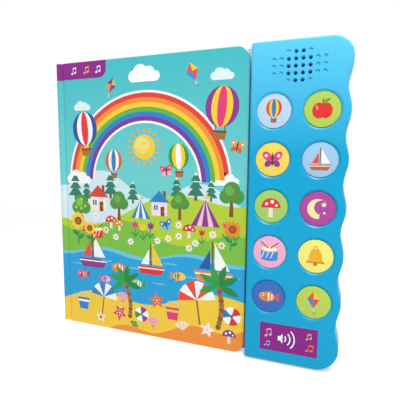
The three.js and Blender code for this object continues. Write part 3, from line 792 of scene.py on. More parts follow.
def fan_shell(body=SHELL_PINK, rib=SHELL_ROSE):
    """A fan shell with its ribs."""
    ribs = [(rib, sector(0, -0.5, 0.25, 1.05, 0.55 + i * 0.25, 0.62 + i * 0.25, 3)) for i in range(4)]
    return [(body, sector(0, -0.5, 0, 1.15, 0.4, 1.6, 12))] + ribs + [(rib, oval(0, -0.5, 0.2, 0.14))]


def butterfly(wing=AMBER, spot=WHITE, low=RUST):
    """A butterfly with spotted wings."""
    wings = [(wing, oval(0.42 * s, 0.28, 0.44, 0.3, 0.5 * s)) for s in (-1, 1)]
    wings += [(low, oval(0.34 * s, -0.32, 0.32, 0.24, -0.5 * s)) for s in (-1, 1)]
    return wings + [
        (spot, oval(0.5 * s, 0.32, 0.13, count=12))
        for s in (-1, 1)
    ] + [
        (UMBER, oval(0, 0, 0.08, 0.55)),
    ]


def mushroom(cap=RED, dot=WHITE):
    """A mushroom with a spotted cap."""
    return [
        (IVORY, poly(-0.2, -0.9, 0.2, -0.9, 0.16, 0, -0.16, 0)),
        (cap, sector(0, -0.1, 0, 0.8, 0, 2)),
        (dot, oval(-0.35, 0.22, 0.13, count=12)),
        (dot, oval(0.1, 0.4, 0.15, count=12)),
        (dot, oval(0.45, 0.12, 0.11, count=12)),
    ]


def cottage(wall=CREAM, roof=ROOF_RED):
    """A cottage with a chimney, a window and a door."""
    return [
        (wall, block(-0.6, -0.9, 0.6, 0.1)),
        (CHESTNUT, block(0.3, 0.3, 0.5, 0.85)),
        (roof, poly(-0.8, 0.05, 0.8, 0.05, 0, 0.85)),
        (STEEL_BLUE, block(-0.42, -0.5, -0.12, -0.15)),
        (CHESTNUT, block(0.1, -0.9, 0.4, -0.25)),
        (YELLOW, oval(0.33, -0.58, 0.04, count=8)),
        (WHITE, block(-0.29, -0.5, -0.25, -0.15)),
    ]


def tent(one=PURPLE, two=BLUSH):
    """A striped tent with a pennant."""
    return [
        (one, poly(-0.85, -0.8, 0.85, -0.8, 0, 0.7)),
        (two, poly(-0.5, -0.8, -0.2, -0.8, 0, 0.7)),
        (two, poly(0.2, -0.8, 0.5, -0.8, 0, 0.7)),
        (YELLOW, poly(0, 0.7, 0, 1.0, 0.35, 0.85)),
    ]


def ball(one=RED, two=WHITE, three=STEEL_BLUE):
    """A beach ball in six panels."""
    tones = (one, two, three, two, one, two)
    return [
        (tone, sector(0, 0, 0, 0.8, i * 4 / 6, (i + 1) * 4 / 6, 6))
        for i, tone in enumerate(tones)
    ] + [
        (three, oval(0, 0, 0.15, count=14)),
    ]


def bucket(body=PINK, band=YELLOW):
    """A beach bucket with a band and a handle."""
    return [
        (GREY, sector(0, 0.3, 0.58, 0.66, 0, 2, 12)),
        (body, poly(-0.45, -0.8, 0.45, -0.8, 0.68, 0.35, -0.68, 0.35)),
        (band, poly(-0.6, -0.08, 0.6, -0.08, 0.65, 0.14, -0.65, 0.14)),
    ]


def double_star(tone=YELLOW, inner=APRICOT):
    """A star with a smaller one on it."""
    return [(tone, spiky(0, 0, 0.9, 0.42, 5)), (inner, spiky(0, 0, 0.45, 0.21, 5))]


def moon(tone=MOON_YELLOW, star=WHITE):
    """A crescent moon with two stars."""
    outer = arc(0j, 0.8, 0.35, 3.1, 24)
    return [
        (tone, outer + arc(complex(0.3, 0.12), 0.58, 2.85, 0.75, 18)),
        (star, spiky(0.45, 0.35, 0.24, 0.1, 5)),
        (star, spiky(0.5, -0.3, 0.15, 0.06, 5)),
    ]


def bell(tone=BRASS, dark=DARK_BRASS):
    """A hand bell with a ring on top."""
    return [
        (dark, oval(0, -0.62, 0.17)),
        (tone, poly(
            -0.75, -0.55, 0.75, -0.55, 0.52, -0.25, 0.45, 0.25,
            0.25, 0.6, -0.25, 0.6, -0.45, 0.25, -0.52, -0.25,
        )),
        (dark, poly(-0.75, -0.55, 0.75, -0.55, 0.68, -0.45, -0.68, -0.45)),
        (tone, sector(0, 0.68, 0.1, 0.2, 0, 4)),
    ]


def apple(tone=RED, shine=APPLE_SHINE):
    """An apple with a leaf."""
    return [
        (tone, oval(-0.25, -0.08, 0.5, 0.6)),
        (tone, oval(0.25, -0.08, 0.5, 0.6)),
        (shine, oval(-0.4, 0.15, 0.1, 0.2, 0.2)),
        (DARK_WOOD, poly(-0.04, 0.4, 0.04, 0.4, 0.1, 0.85, 0.02, 0.85)),
        (APPLE_LEAF, oval(0.32, 0.68, 0.26, 0.11, 0.3)),
    ]


def drum(side=RED, hoop=YELLOW):
    """A laced drum with two sticks."""
    laces = [
        (WHITE, poly(x, -0.5, x + 0.07, -0.5, x + 0.34, 0.2, x + 0.27, 0.2))
        for x in (-0.68, -0.3, 0.08)
    ]
    return [
        (side, block(-0.7, -0.55, 0.7, 0.25)),
        (side, oval(0, -0.55, 0.7, 0.2)),
    ] + laces + [
        (hoop, oval(0, 0.25, 0.74, 0.24)),
        (DRUM_SKIN, oval(0, 0.28, 0.64, 0.18)),
        (WOOD, poly(-0.1, 0.3, -0.75, 0.82, -0.7, 0.9, -0.04, 0.38)),
        (WOOD, poly(0.1, 0.3, 0.75, 0.82, 0.7, 0.9, 0.04, 0.38)),
    ]


def broad_leaf(tone=LEAF_GREEN, vein=VEIN_GREEN):
    """A broad leaf with its veins."""
    half = [complex(0.42 * math.sin(math.pi * t), -0.8 + 1.6 * t) for t in (i / 14 for i in range(15))]
    return [
        (tone, half + [complex(-p.real, p.imag) for p in half[-2:0:-1]]),
        (vein, poly(-0.025, -1.0, 0.025, -1.0, 0.015, 0.55, -0.015, 0.55)),
    ] + [
        (vein, poly(0, y, 0.26 * s, y + 0.24, 0.25 * s, y + 0.29, 0, y + 0.06))
        for y in (-0.45, -0.1, 0.2) for s in (-1, 1)
    ]


def blade(start, long, wide, turn, count=8):
    """A pointed leaf from its root, with its direction in quarter turns."""
    swing, steps = cmath.rect(long, turn * TURN / 4), [i / count for i in range(count + 1)]
    edge = [complex(t, wide / long * math.sin(math.pi * t)) for t in steps]
    return [start + swing * p for p in edge] + [start + swing * p.conjugate() for p in edge[-2:0:-1]]


def palm(trunk=TRUNK, band=TRUNK_BAND, blades=PALM_GREEN, shade=PALM_LIGHT):
    """A palm with a ringed trunk and six fronds."""
    parts = [
        (band if i % 2 else trunk, oval(0.1 * math.sin(i * 0.35), -0.92 + 0.14 * i, 0.085, 0.09))
        for i in range(10)
    ]
    crown = complex(0, 0.38)
    turns = (-0.25, 2.25, 0.3, 1.7, 0.8, 1.25)
    return parts + [
        (shade if i % 2 else blades, blade(crown, 0.68, 0.11, turn))
        for i, turn in enumerate(turns)
    ]


def sunflower(petal=YELLOW, heart=CHESTNUT, stem=LEAF_GREEN):
    """A sunflower with two leaves."""
    head = complex(0, 0.35)
    parts = [
        (stem, block(-0.04, -1, 0.04, 0.2)),
        (stem, blade(complex(0, -0.7), 0.5, 0.12, 0.4)),
        (stem, blade(complex(0, -0.5), 0.5, 0.12, 1.6)),
    ]
    parts += [(petal, blade(head, 0.58, 0.11, i / 3)) for i in range(12)]
    return parts + [(heart, oval(0, 0.35, 0.24)), (SEED_BROWN, oval(0, 0.35, 0.14))]


def note(tone=WHITE):
    """Two joined quavers."""
    return [
        (tone, oval(-0.45, -0.6, 0.28, 0.2, 0.2)),
        (tone, oval(0.35, -0.42, 0.28, 0.2, 0.2)),
        (tone, block(-0.28, -0.55, -0.18, 0.6)),
        (tone, block(0.52, -0.38, 0.62, 0.78)),
        (tone, poly(-0.28, 0.35, 0.62, 0.53, 0.62, 0.78, -0.28, 0.6)),
    ]


def loudspeaker(tone=WHITE):
    """A loudspeaker with three sound waves."""
    return [
        (tone, sector(-0.6, 0, r - 0.12, r, -0.5, 0.5, 10))
        for r in (0.45, 0.85, 1.25)
    ] + [
        (tone, poly(-0.95, -0.22, -0.75, -0.22, -0.5, -0.5, -0.5, 0.5, -0.75, 0.22, -0.95, 0.22)),
    ]


def ripple(tone=RIPPLE_BLUE):
    """Three small ripples on water."""
    return [(tone, sector(x, 0, 0.22, 0.3, 2.2, 3.8, 8)) for x in (-0.5, 0.0, 0.5)]


def rainbow():
    """A rainbow of six bands with a white edge on both sides."""
    tones = (WHITE, CORAL, APRICOT, YELLOW, LIGHT_GREEN, BLUE, VIOLET, WHITE)
    edges = (1.0, 0.975, 0.925, 0.875, 0.825, 0.775, 0.725, 0.675, 0.65)
    return [
        (tone, sector(0, 0, low, high, 0.02, 1.98, 48))
        for tone, high, low in zip(tones, edges, edges[1:])
    ]


def sun_disc():
    """The sun without its rays."""
    return [(YELLOW, oval(0, 0, 0.5, count=40)), (SUN_GLOW, oval(-0.08, 0.08, 0.34, count=32))]


def flower_heart():
    """The yellow middle of a daisy."""
    return [(GOLD, oval(0, 0, 0.3, count=12))]


# Print tables. A row has a motif, its place in millimetres off the spine's outer face and off the lower
# edge, its half size in millimetres, its turn in degrees, and its inks where they aren't the motif's own.

SUN_PLACE = (96, 178)

COVER_PRINT = (
    # Sky
    (rainbow, 96, 146, 82, 0, ()),
    (sun_disc, *SUN_PLACE, 22, 0, ()),
    (cloud, 24, 148, 15, 0, ()),
    (cloud, 172, 150, 13, 0, ()),
    (cloud, 96, 241, 17, 0, ()),
    (cloud, 30, 216, 10, 0, (MIST,)),
    (cloud, 168, 236, 11, 0, (MIST,)),
    # Balloons, kites and butterflies
    (air_balloon, 33, 190, 22.1, 4, ()),
    (air_balloon, 168, 205, 23.4, -5, (PURPLE, YELLOW, PINK)),
    (air_balloon, 64, 162, 14.3, 0, (RUST, WHITE, BLUE)),
    (air_balloon, 130, 166, 15.6, 3, (GREEN, YELLOW, WHITE)),
    (kite, 143, 238, 11, 18, ()),
    (kite, 62, 232, 10, -22, (PURPLE, LIME, ORANGE)),
    (butterfly, 118, 157, 7.8, 10, (PINK, YELLOW, ROSE)),
    (butterfly, 182, 178, 7.8, -15, ()),
    # Trees and houses
    (pine, 20, 142, 15.6, 0, ()),
    (pine, 33, 137, 11.7, 0, ()),
    (pine, 60, 144, 14.3, 0, ()),
    (pine, 84, 138, 11.7, 0, ()),
    (pine, 128, 143, 11.7, 0, ()),
    (pine, 146, 146, 14.3, 0, ()),
    (pine, 160, 142, 10.4, 0, ()),
    (cottage, 46, 130, 14.3, 0, ()),
    (round_tree, 69, 124, 14.3, 0, ()),
    (round_tree, 26, 118, 15.6, 0, (GARDEN_GREEN, GARDEN_LIGHT, YELLOW)),
    (cottage, 111, 128, 13, 0, (PALE_PINK, BLUE)),
    (round_tree, 131, 127, 13, 0, ()),
    (round_tree, 178, 135, 15.6, 0, ()),
    (tent, 155, 122, 15.6, 0, ()),
    (tent, 92, 122, 11.7, 0, (BLUE, WHITE)),
    # Meadow
    (mushroom, 60, 108, 7.8, 0, ()),
    (mushroom, 69, 105, 6.5, 0, (ORANGE, WHITE)),
    (mushroom, 140, 105, 7.8, 0, ()),
    (tulip, 86, 103, 9.1, 0, ()),
    (tulip, 94, 101, 9.1, 4, (YELLOW,)),
    (tulip, 102, 103, 9.1, -4, (PURPLE,)),
    (tulip, 152, 101, 7.8, 0, (RED,)),
    (tulip, 174, 108, 9.1, 0, ()),
    (tulip, 182, 106, 7.8, 5, (ORANGE,)),
    (apple, 32, 99, 6.5, 10, ()),
    (drum, 44, 97, 9.1, 0, ()),
    (butterfly, 118, 108, 7.8, 20, (BLUE, WHITE, LAKE_BLUE)),
    # Water
    (boat, 38, 76, 19.5, 0, ()),
    (boat, 102, 74, 16.9, 0, (YELLOW, WHITE, RED)),
    (boat, 162, 77, 20.8, 0, (WHITE, NAVY, ORANGE)),
    (fish, 68, 63, 10.4, 0, ()),
    (fish, 26, 52, 9.1, 8, (PINK, YELLOW, PURPLE)),
    (fish, 130, 62, 9.1, 180, (YELLOW, NAVY, ORANGE)),
    (fish, 88, 50, 9.1, -6, (MINT, WHITE, GREEN)),
    (fish, 52, 50, 7.8, 180, (ROSE, PURPLE, PINK)),
    (ripple, 54, 70, 8, 0, ()),
    (ripple, 84, 66, 8, 0, ()),
    (ripple, 122, 74, 8, 0, ()),
    (ripple, 144, 64, 8, 0, ()),
    (ripple, 182, 68, 7, 0, ()),
    (ripple, 110, 54, 8, 0, ()),
    (ripple, 20, 64, 7, 0, ()),
    # Beach
    (parasol, 148, 40, 20.8, 8, ()),
    (parasol, 50, 30, 16.9, -8, (BLUE, WHITE)),
    (ball, 180, 32, 10.4, 15, ()),
    (ball, 92, 20, 9.1, 40, (PURPLE, WHITE, GREEN)),
    (bucket, 124, 28, 10.4, 0, ()),
    (bucket, 26, 24, 10.4, 0, (BLUE, WHITE)),
    (starfish, 108, 36, 9.1, 10, ()),
    (starfish, 68, 18, 9.1, 30, (PINK, WHITE)),
    (fan_shell, 72, 34, 7.8, -10, ()),
    (fan_shell, 134, 15, 7.8, 12, (CREAM, SANDSTONE)),
    (starfish, 158, 16, 7.8, -12, (WHITE, ORANGE)),
    (fan_shell, 104, 14, 7.8, 0, ()),
    (double_star, 46, 10, 6.5, 0, (WHITE, RUST)),
    (mushroom, 178, 14, 7.8, 0, (PURPLE, WHITE)),
    (broad_leaf, 84, 9, 6.5, 60, ()),
    # Tall plants in front
    (palm, 168, 47, 29, 0, ()),
    (palm, 76, 40, 26, 8, ()),
    (sunflower, 22, 100, 17, 0, ()),
    (sunflower, 36, 95, 13, 6, ()),
    (sunflower, 179, 104, 14, -5, (ORANGE,)),
    # Corner tab
    (note, 22, 249.5, 4.2, 0, ()),
    (note, 36, 249.5, 4.2, 0, (YELLOW,)),
    (note, 49, 249.5, 4.2, 0, ()),
)

# Motif and inks of each button, in the order of their numbers
BUTTON_PRINT = (
    (air_balloon, (CORAL, YELLOW, BLUE)),
    (apple, ()),
    (butterfly, (PINK, WHITE, PURPLE)),
    (boat, (WHITE, SCARLET, HULL_BROWN)),
    (mushroom, ()),
    (moon, ()),
    (drum, (BRIGHT_BLUE, YELLOW)),
    (bell, ()),
    (fish, ()),
    (kite, ()),
)

# Places from the label's middle
LABEL_PRINT = (
    (note, -16, 3.5, 4.6, 8, (ROSE,)),
    (note, -16.5, -6, 3.2, -8, (PALE_BLUE,)),
    (loudspeaker, 0, 0, 8.5, 0, ()),
    (note, 16, 5, 3.4, 6, (YELLOW,)),
    (note, 17, -4.5, 4.2, -8, (ORANGE,)),
)

# Half size of a daisy's middle, and the daisies' places on the cover
DAISY_HEART = 5 * MM
DAISIES = (
    (120, 96), (130, 99), (65, 93), (140, 89), (81, 90), (162, 103),
    (43, 112), (130, 109), (109, 93), (146, 94), (170, 94), (54, 99),
)

PAGE_PRINT = (
    (sun_disc, 34, 218, 20, 0, ()),
    (cloud, 78, 222, 20, 0, ()),
    (cloud, 158, 208, 16, 0, (MIST,)),
    (air_balloon, 120, 200, 26, 4, (PINK, YELLOW, PURPLE)),
    (kite, 60, 186, 16, -20, ()),
    (cottage, 56, 128, 24, 0, ()),
    (round_tree, 96, 124, 24, 0, ()),
    (pine, 152, 134, 20, 0, ()),
    (pine, 172, 128, 16, 0, ()),
    (tulip, 124, 108, 12, 0, (ORANGE,)),
    (tulip, 136, 106, 12, 5, ()),
    (mushroom, 26, 108, 12, 0, ()),
    (boat, 132, 72, 26, 0, ()),
    (fish, 62, 58, 14, 0, ()),
    (fish, 96, 52, 11, 180, (YELLOW, NAVY, ORANGE)),
    (parasol, 48, 32, 20, 8, ()),
    (starfish, 94, 24, 10, 10, ()),
    (bucket, 126, 26, 12, 0, ()),
    (ball, 158, 34, 12, 15, ()),
)


# Print

class Print:
    """Thin closed plates of ink on one face, each a step over the last of its motif."""
    touching = 0.8  # share of two motifs' half sizes within which they overlap

    def __init__(self, name, level):
        self.name, self.level = name, level
        self.work, self.inks, self.stamps = bmesh.new(), [], []

    def shape(self, code, outline, order):
        """One plate of one ink. The outline has metres in the row frame."""
        if code not in self.inks:
            self.inks.append(code)
        step = book_sizes().ink
        back, front = (
            [self.work.verts.new((p.real, depth, p.imag)) for p in outline]
            for depth in (self.level + step, self.level - step * (order + 1))
        )
        sides = zip(back, back[1:] + back[:1], front[1:] + front[:1], front)
        for corners in (back[::-1], front, *sides):
            self.work.faces.new(corners).material_index = self.inks.index(code)

    def stamp(self, motif, place, size, degrees=0, inks=()):
        """A motif at a place in the row frame, over those that it touches. Its half size is in metres."""
        base = 0
        for other, reach, top in self.stamps:
            if abs(other - place) < self.touching * (reach + size):
                base = max(base, top)
        swing, shapes = cmath.rect(size, math.radians(degrees)), motif(*inks)
        for order, (code, outline) in enumerate(shapes, base):
            self.shape(code, [place + swing * point for point in outline], order)
        self.stamps.append((place, size, base + len(shapes)))

    def stamp_table(self, rows, place):
        """Every motif of a print table. place turns the table's millimetres into the row frame."""
        for motif, x, y, size, degrees, inks in rows:
            self.stamp(motif, place(x, y), size * MM, degrees, inks)

    def finish(self, body, slot):
        """The print as one piece on its body."""
        split_wide_faces(self.work)
        return keep(self.name, mesh_of(self.work, self.name), body, [ink(code) for code in self.inks])


def on_cover(x, y):
    """A place on the cover, from millimetres off the spine's outer face and off the lower edge."""
    return complex(LEFT + x * MM, FLOOR + y * MM)


def petal_rings():
    """Rings of petals on every point of a mesh: long flat petals round a middle that stays open."""
    tree = bpy.data.node_groups.new("petal_rings", "GeometryNodeTree")
    sockets = {
        "Geometry": "Geometry", "Petals": "Int", "Ring Radius": "Float", "Petal Length": "Float",
        "Petal Width": "Float", "Thickness": "Float", "Material": "Material",
    }
    for label, kind in sockets.items():
        tree.interface.new_socket(name=label, in_out="INPUT", socket_type=f"NodeSocket{kind}")
    tree.interface.new_socket(name="Geometry", in_out="OUTPUT", socket_type="NodeSocketGeometry")
    start, end = tree.nodes.new("NodeGroupInput").outputs, tree.nodes.new("NodeGroupOutput")

    def node(kind, links, **values):
        """A node with its links and its settings, as its first output."""
        made = tree.nodes.new(kind)
        for key, value in values.items():
            setattr(made, key, value)
        for label, source in links.items():
            feed(tree, made.inputs[label], source)
        return made.outputs[0]

    size = node("ShaderNodeCombineXYZ", {
        "X": start["Petal Length"], "Y": start["Petal Width"], "Z": start["Thickness"],
    })
    petal = node("GeometryNodeMeshCylinder", {"Vertices": 12, "Radius": 0.5, "Depth": 1.0})
    petal = node("GeometryNodeTransform", {"Geometry": petal, "Scale": size})
    ring = node("GeometryNodeMeshCircle", {"Vertices": start["Petals"], "Radius": start["Ring Radius"]})
    position = node("GeometryNodeInputPosition", {})
    outwards = node("FunctionNodeAlignRotationToVector", {"Vector": position}, axis="X", pivot_axis="Z")
    flower = node("GeometryNodeInstanceOnPoints", {"Points": ring, "Instance": petal, "Rotation": outwards})
    upright = node("GeometryNodeTransform", {"Geometry": flower, "Rotation": (TURN / 4, 0, 0)})
    scatter = node("GeometryNodeInstanceOnPoints", {"Points": start["Geometry"], "Instance": upright})
    real = node("GeometryNodeRealizeInstances", {"Geometry": scatter})
    painted = node("GeometryNodeSetMaterial", {"Geometry": real, "Material": start["Material"]})
    tree.links.new(painted, end.inputs[0])
    return tree


def petals(name, places, values):
    """A piece of petal rings at places on the cover, with the values of the tree's inputs."""
    tree = bpy.data.node_groups.get("petal_rings") or petal_rings()
    seeds = bpy.data.meshes.new(name)
    seeds.from_pydata([(p.real, COVER[0].y, p.imag) for p in places], [], [])
    thing = linked(name, seeds)
    modifier = thing.modifiers.new("petals", "NODES")
    modifier.node_group = tree
    values = {**values, "Thickness": book_sizes().petal}
    for socket in tree.interface.items_tree:
        if socket.in_out == "INPUT" and socket.name in values:
            modifier[socket.identifier] = values[socket.name]
    mesh = bpy.data.meshes.new_from_object(thing.evaluated_get(bpy.context.evaluated_depsgraph_get()))
    bpy.data.objects.remove(thing)
    return keep(name, mesh, "front_cover", [])


# Operators

class SOUNDBOOK_OT_case(bpy.types.Operator):
    """Prints the covers and the spine, and bends the joints beside it"""
    bl_idname = "sound_book.case"
    bl_label = "Covers and spine"

    def spine(self, material):
        """The stiff ridge round the pages' bound edge, rounded over on its outer side."""
        sizes = book_sizes()
        (left, front, foot), (right, back, top) = SPINE
        bend, edge, inner = sizes.spine_bend, sizes.spine_edge, left + sizes.spine_board
        section = arc(complex(left + bend, front + bend), bend, 2, 3, BEND_STEPS)
        section += arc(complex(right - edge, front + edge), edge, 3, 4, BEND_END_STEPS)
        section += [complex(right, COVER[1].y), complex(inner, COVER[1].y)]
        section += [complex(inner, BACK[0].y), complex(right, BACK[0].y)]
        section += arc(complex(right - edge, back - edge), edge, 0, 1, BEND_END_STEPS)
        section += arc(complex(left + bend, back - bend), bend, 1, 2, BEND_STEPS)
        work = bmesh.new()
        add_rings(work, [[(p.real, p.imag, height) for p in section] for height in (foot, top)])
        split_wide_faces(work)
        keep("spine_ridge", mesh_of(work, "spine_ridge"), "pages", [material], ["spine"])

    def joint(self, name, node, board, level, inwards, material):
        """A flexible strip that dips between the ridge of the spine and a board. inwards is 1 or -1."""
        sizes = book_sizes()
        start, end = SPINE[1].x - sizes.joint_tuck, COVER[0].x + sizes.joint_tuck
        section, inside = [], []
        for i in range(JOINT_STEPS + 1):
            t = i / JOINT_STEPS
            across, dip = start + (end - start) * t, level + inwards * sizes.groove * math.sin(math.pi * t)
            section.append((across, dip))
            inside.append((across, dip + inwards * sizes.wrap))
        section += inside[::-1]
        work = bmesh.new()
        add_rings(work, [[(x, y, z) for x, y in section] for z in (SPINE[0].z, SPINE[1].z)])
        split_wide_faces(work)
        piece = shaded(name, mesh_of(work, name), [material], 50)
        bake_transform(piece)
        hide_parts(node)

    def execute(self, context):
        laminate = {"roughness": 0.3, "variation": 0.03, "patch": 40.0, "bump": 0.01, "coat": 0.15}
        wrap = finish("printed_wrap", landscape, **laminate)
        paint_node("front_cover", wrap)
        paint_node("back_cover", finish("back_wrap", back_print, **laminate))
        self.spine(wrap)
        sink = book_sizes().joint_sink
        self.joint("front_joint", "front_joint_strip", "front_cover", COVER[0].y + sink, 1, wrap)
        self.joint("back_joint", "back_joint_strip", "module_and_back", BACK[1].y - sink, -1, wrap)
        return {"FINISHED"}


class SOUNDBOOK_OT_pages(bpy.types.Operator):
    """Gives the block of leaves its card and the picture on its first page"""
    bl_idname = "sound_book.pages"
    bl_label = "Pages"

    def execute(self, context):
        paint_node("page_block", finish("page_card", page_card, roughness=0.7, variation=0.04, bump=0.02))
        sheet = Print("page_motifs", PAGES[0].y)
        sheet.stamp_table(PAGE_PRINT, on_cover)
        sheet.finish("pages", "pages")
        return {"FINISHED"}


class SOUNDBOOK_OT_housing(bpy.types.Operator):
    """Moulds the module's housing with its wavy side, wells and grille"""
    bl_idname = "sound_book.housing"
    bl_label = "Module housing"

    def outline(self, sizes):
        """The module's outline, with a crest beside each row of buttons and one at each end."""
        pitch = button_centre(1).z - button_centre(3).z
        low, high = button_centre(BUTTON_COUNT).z - pitch, button_centre(1).z + pitch
        right, left, corner = HOUSING[1].x, HOUSING[0].x + sizes.page_corner, sizes.page_corner
        bottom, top = low - HOUSING[0].z, HOUSING[1].z - high
        steps, half = WAVE_STEPS * (ROW_COUNT + 1), sizes.scallop / 2
        wave = [
            complex(right - half * (1 - math.cos(TURN * i / WAVE_STEPS)), low + (high - low) * i / steps)
            for i in range(1, steps)
        ]
        return (
            arc(complex(right - bottom, low), bottom, -1, 0, LOW_CORNER_STEPS) + wave
            + arc(complex(right - top, high), top, 0, 1, HIGH_CORNER_STEPS)
            + arc(complex(left, HOUSING[1].z - corner), corner, 1, 2, PAGE_CORNER_STEPS)
            + arc(complex(left, HOUSING[0].z + corner), corner, 2, 3, PAGE_CORNER_STEPS)
        )

    def supports(self, sizes):
        """Screw bosses, posts whose staked ends hold the circuit board, and a ring round the speaker."""
        work = bmesh.new()
        root, back = HOUSING[0].y + sizes.face / 2, HOUSING[1].y
        for number in range(1, SCREW_COUNT + 1):
            low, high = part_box(f"case_screw_{number}")
            turned(work, (low + high) / 2, [
                (sizes.pilot, low.y - sizes.fit), (sizes.pilot, back),
                (sizes.boss, back), (sizes.boss, root),
            ], SMALL_FACETS)
        board_front, board_back = (corner.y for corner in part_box("circuit_board"))
        board_front, board_back = board_front - sizes.fit, board_back + sizes.fit
        for row in range(1, ROW_COUNT):
            turned(work, (button_centre(2 * row - 1) + button_centre(2 * row + 2)) / 2, [
                (sizes.stake_head, board_back + sizes.stake_height), (sizes.stake_head, board_back),
                (sizes.stake, board_back), (sizes.stake, board_front),
                (sizes.post, board_front), (sizes.post, root),
            ], SMALL_FACETS)
        low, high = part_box("speaker_frame")
        near = (high.x - low.x) / 2 + sizes.fit
        far, rim = near + sizes.ring_wall, HOUSING[0].y + sizes.face + sizes.ring_height
        ring = [(near, rim), (far, rim), (far, root), (near, root), (near, rim)]
        turned(work, (low + high) / 2, ring, ROUND_FACETS, closed_ends=False)
        return mesh_of(work, "supports")

    def grille(self, sizes):
        """Centres of the grille's holes and whether each goes right through."""
        middle = (button_centre(1).x + button_centre(COLUMN_COUNT).x) / 2
        for row, (holes, opened) in enumerate(GRILLE_ROWS):
            height = HOUSING[1].z - sizes.grille_drop + (len(GRILLE_ROWS) // 2 - row) * sizes.grille_pitch
            for i in range(holes):
                step = i - (holes - 1) / 2
                yield Vector((middle + step * sizes.grille_pitch, 0, height)), abs(step) < opened / 2

    def holes(self, sizes):
        """What the wells and the grille take out of the front."""
        work = bmesh.new()
        face = HOUSING[0].y
        inside, outside = face + sizes.face + sizes.overrun, face - sizes.overrun
        for number in range(1, BUTTON_COUNT + 1):
            centre = button_centre(number)
            hole = (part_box(f"button_{number}")[1].x - centre.x) - sizes.flange + sizes.well_fit
            rim = hole + sizes.well_width
            profile = [(hole, inside), (hole, face + sizes.well_depth), (rim, face), (rim, outside)]
            turned(work, centre, profile, ROUND_FACETS)
        mouth = [(sizes.bore, face + sizes.dimple_depth), (sizes.dimple, face), (sizes.dimple, outside)]
        for centre, through in self.grille(sizes):
            taper = [(sizes.bore / 2, inside)] if through else []
            turned(work, centre, taper + mouth, SMALL_FACETS)
        return mesh_of(work, "holes")

    def execute(self, context):
        sizes, outline = book_sizes(), self.outline(book_sizes())
        face, back = HOUSING[0].y, HOUSING[1].y
        edge = rounded_edge(sizes.edge, HOUSING_EDGE_STEPS)
        rounding = [(sizes.draft + inwards, face + depth) for inwards, depth in edge]
        hollow = [(sizes.wall, back + sizes.overrun), (sizes.wall + sizes.draft, face + sizes.face)]
        shell = combined(plate(outline, [(0, back), *rounding]), plate(outline, hollow))
        shell = combined(shell, self.supports(sizes), "UNION")
        shell = combined(shell, self.holes(sizes))
        # Plastic with a painted highlight, paler towards the top; the battery box and door share it.
        plastic = finish(
            "sky_blue_plastic_painted_highlight", module_plastic, roughness=0.36, variation=0.02, grain=2500.0, patch=30.0,
            bump=0.012,
        )
        keep(
            "housing_shell", shell, "module_and_back", [plastic], ["front_housing"],
            smooth=20,
        )
        for node in ("battery_box", "battery_door"):
            paint_node(node, plastic)
        return {"FINISHED"}


class SOUNDBOOK_OT_buttons(bpy.types.Operator):
    """Moulds the push buttons and the rubber domes that return them"""
    bl_idname = "sound_book.buttons"
    bl_label = "Buttons"

    def cap(self, number, code):
        """A button: its stem, its hidden flange and its face with a rounded edge."""
        sizes, centre, node = book_sizes(), button_centre(number), f"button_{number}"
        low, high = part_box(node)
        wide, shoulder = high.x - centre.x, low.y + sizes.cap_depth
        cap, flange_back = wide - sizes.flange, shoulder + sizes.flange_depth
        edge = rounded_edge(sizes.cap_edge, CAP_EDGE_STEPS)
        work = bmesh.new()
        turned(work, centre, [
            (sizes.plunger, high.y), (sizes.plunger, flange_back), (wide, flange_back), (wide, shoulder),
            (cap, shoulder), *((cap - inwards, low.y + depth) for inwards, depth in edge),
        ], ROUND_FACETS)
        plastic = finish(f"button_face_{number}", linear(code), roughness=0.32, variation=0.02, bump=0.01)
        name = f"cap_{number}"
        keep(name, mesh_of(work, name), node, [plastic], [node])

    def dome(self, number):
        """The rubber dome under a button, with its foot on the board."""
        node, body = f"rubber_dome_{number}", f"button_{number}"
        piece = linked(f"dome_{number}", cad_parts[node].data.copy())
        piece.matrix_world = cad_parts[node].matrix_world
        silicone = finish("dome_silicone", linear("d9dadb"), roughness=0.6, variation=0.03)
        piece.data.materials.clear()
        piece.data.materials.append(silicone)
        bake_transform(piece)
        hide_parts(node)

    def execute(self, context):
        for number, code in enumerate(BUTTON_FACES, 1):
            self.cap(number, code)
            self.dome(number)
        return {"FINISHED"}


class SOUNDBOOK_OT_electronics(bpy.types.Operator):
    """Finishes the parts inside the module and its screws"""
    bl_idname = "sound_book.electronics"
    bl_label = "Electronics and screws"

    def execute(self, context):
        steel = finish(
            "zinc_plated_steel", linear("c9cbcf"), roughness=0.28, variation=0.04, metallic=1.0, bump=0.01,
        )
        black = finish("black_resin", linear("1c1c1f"), roughness=0.4, variation=0.1)
        lacquer = finish("solder_mask", linear("2f7d46"), roughness=0.35, variation=0.15, patch=400.0)
        looks = {
            "circuit_board": lacquer,
            "sound_chip": black,
            "speaker_cone": finish("cone_paper", linear("17395c"), roughness=0.8, variation=0.2),
            "speaker_frame": steel,
            "speaker_magnet": steel,
            "battery_cell": steel,
            "contact": steel,
            "screw": steel,
            "wire_red": finish("red_insulation", linear("b3261e"), roughness=0.45),
            "wire_black": black,
        }
        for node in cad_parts:
            for part, material in looks.items():
                if part in node:
                    paint_node(node, material)
        return {"FINISHED"}


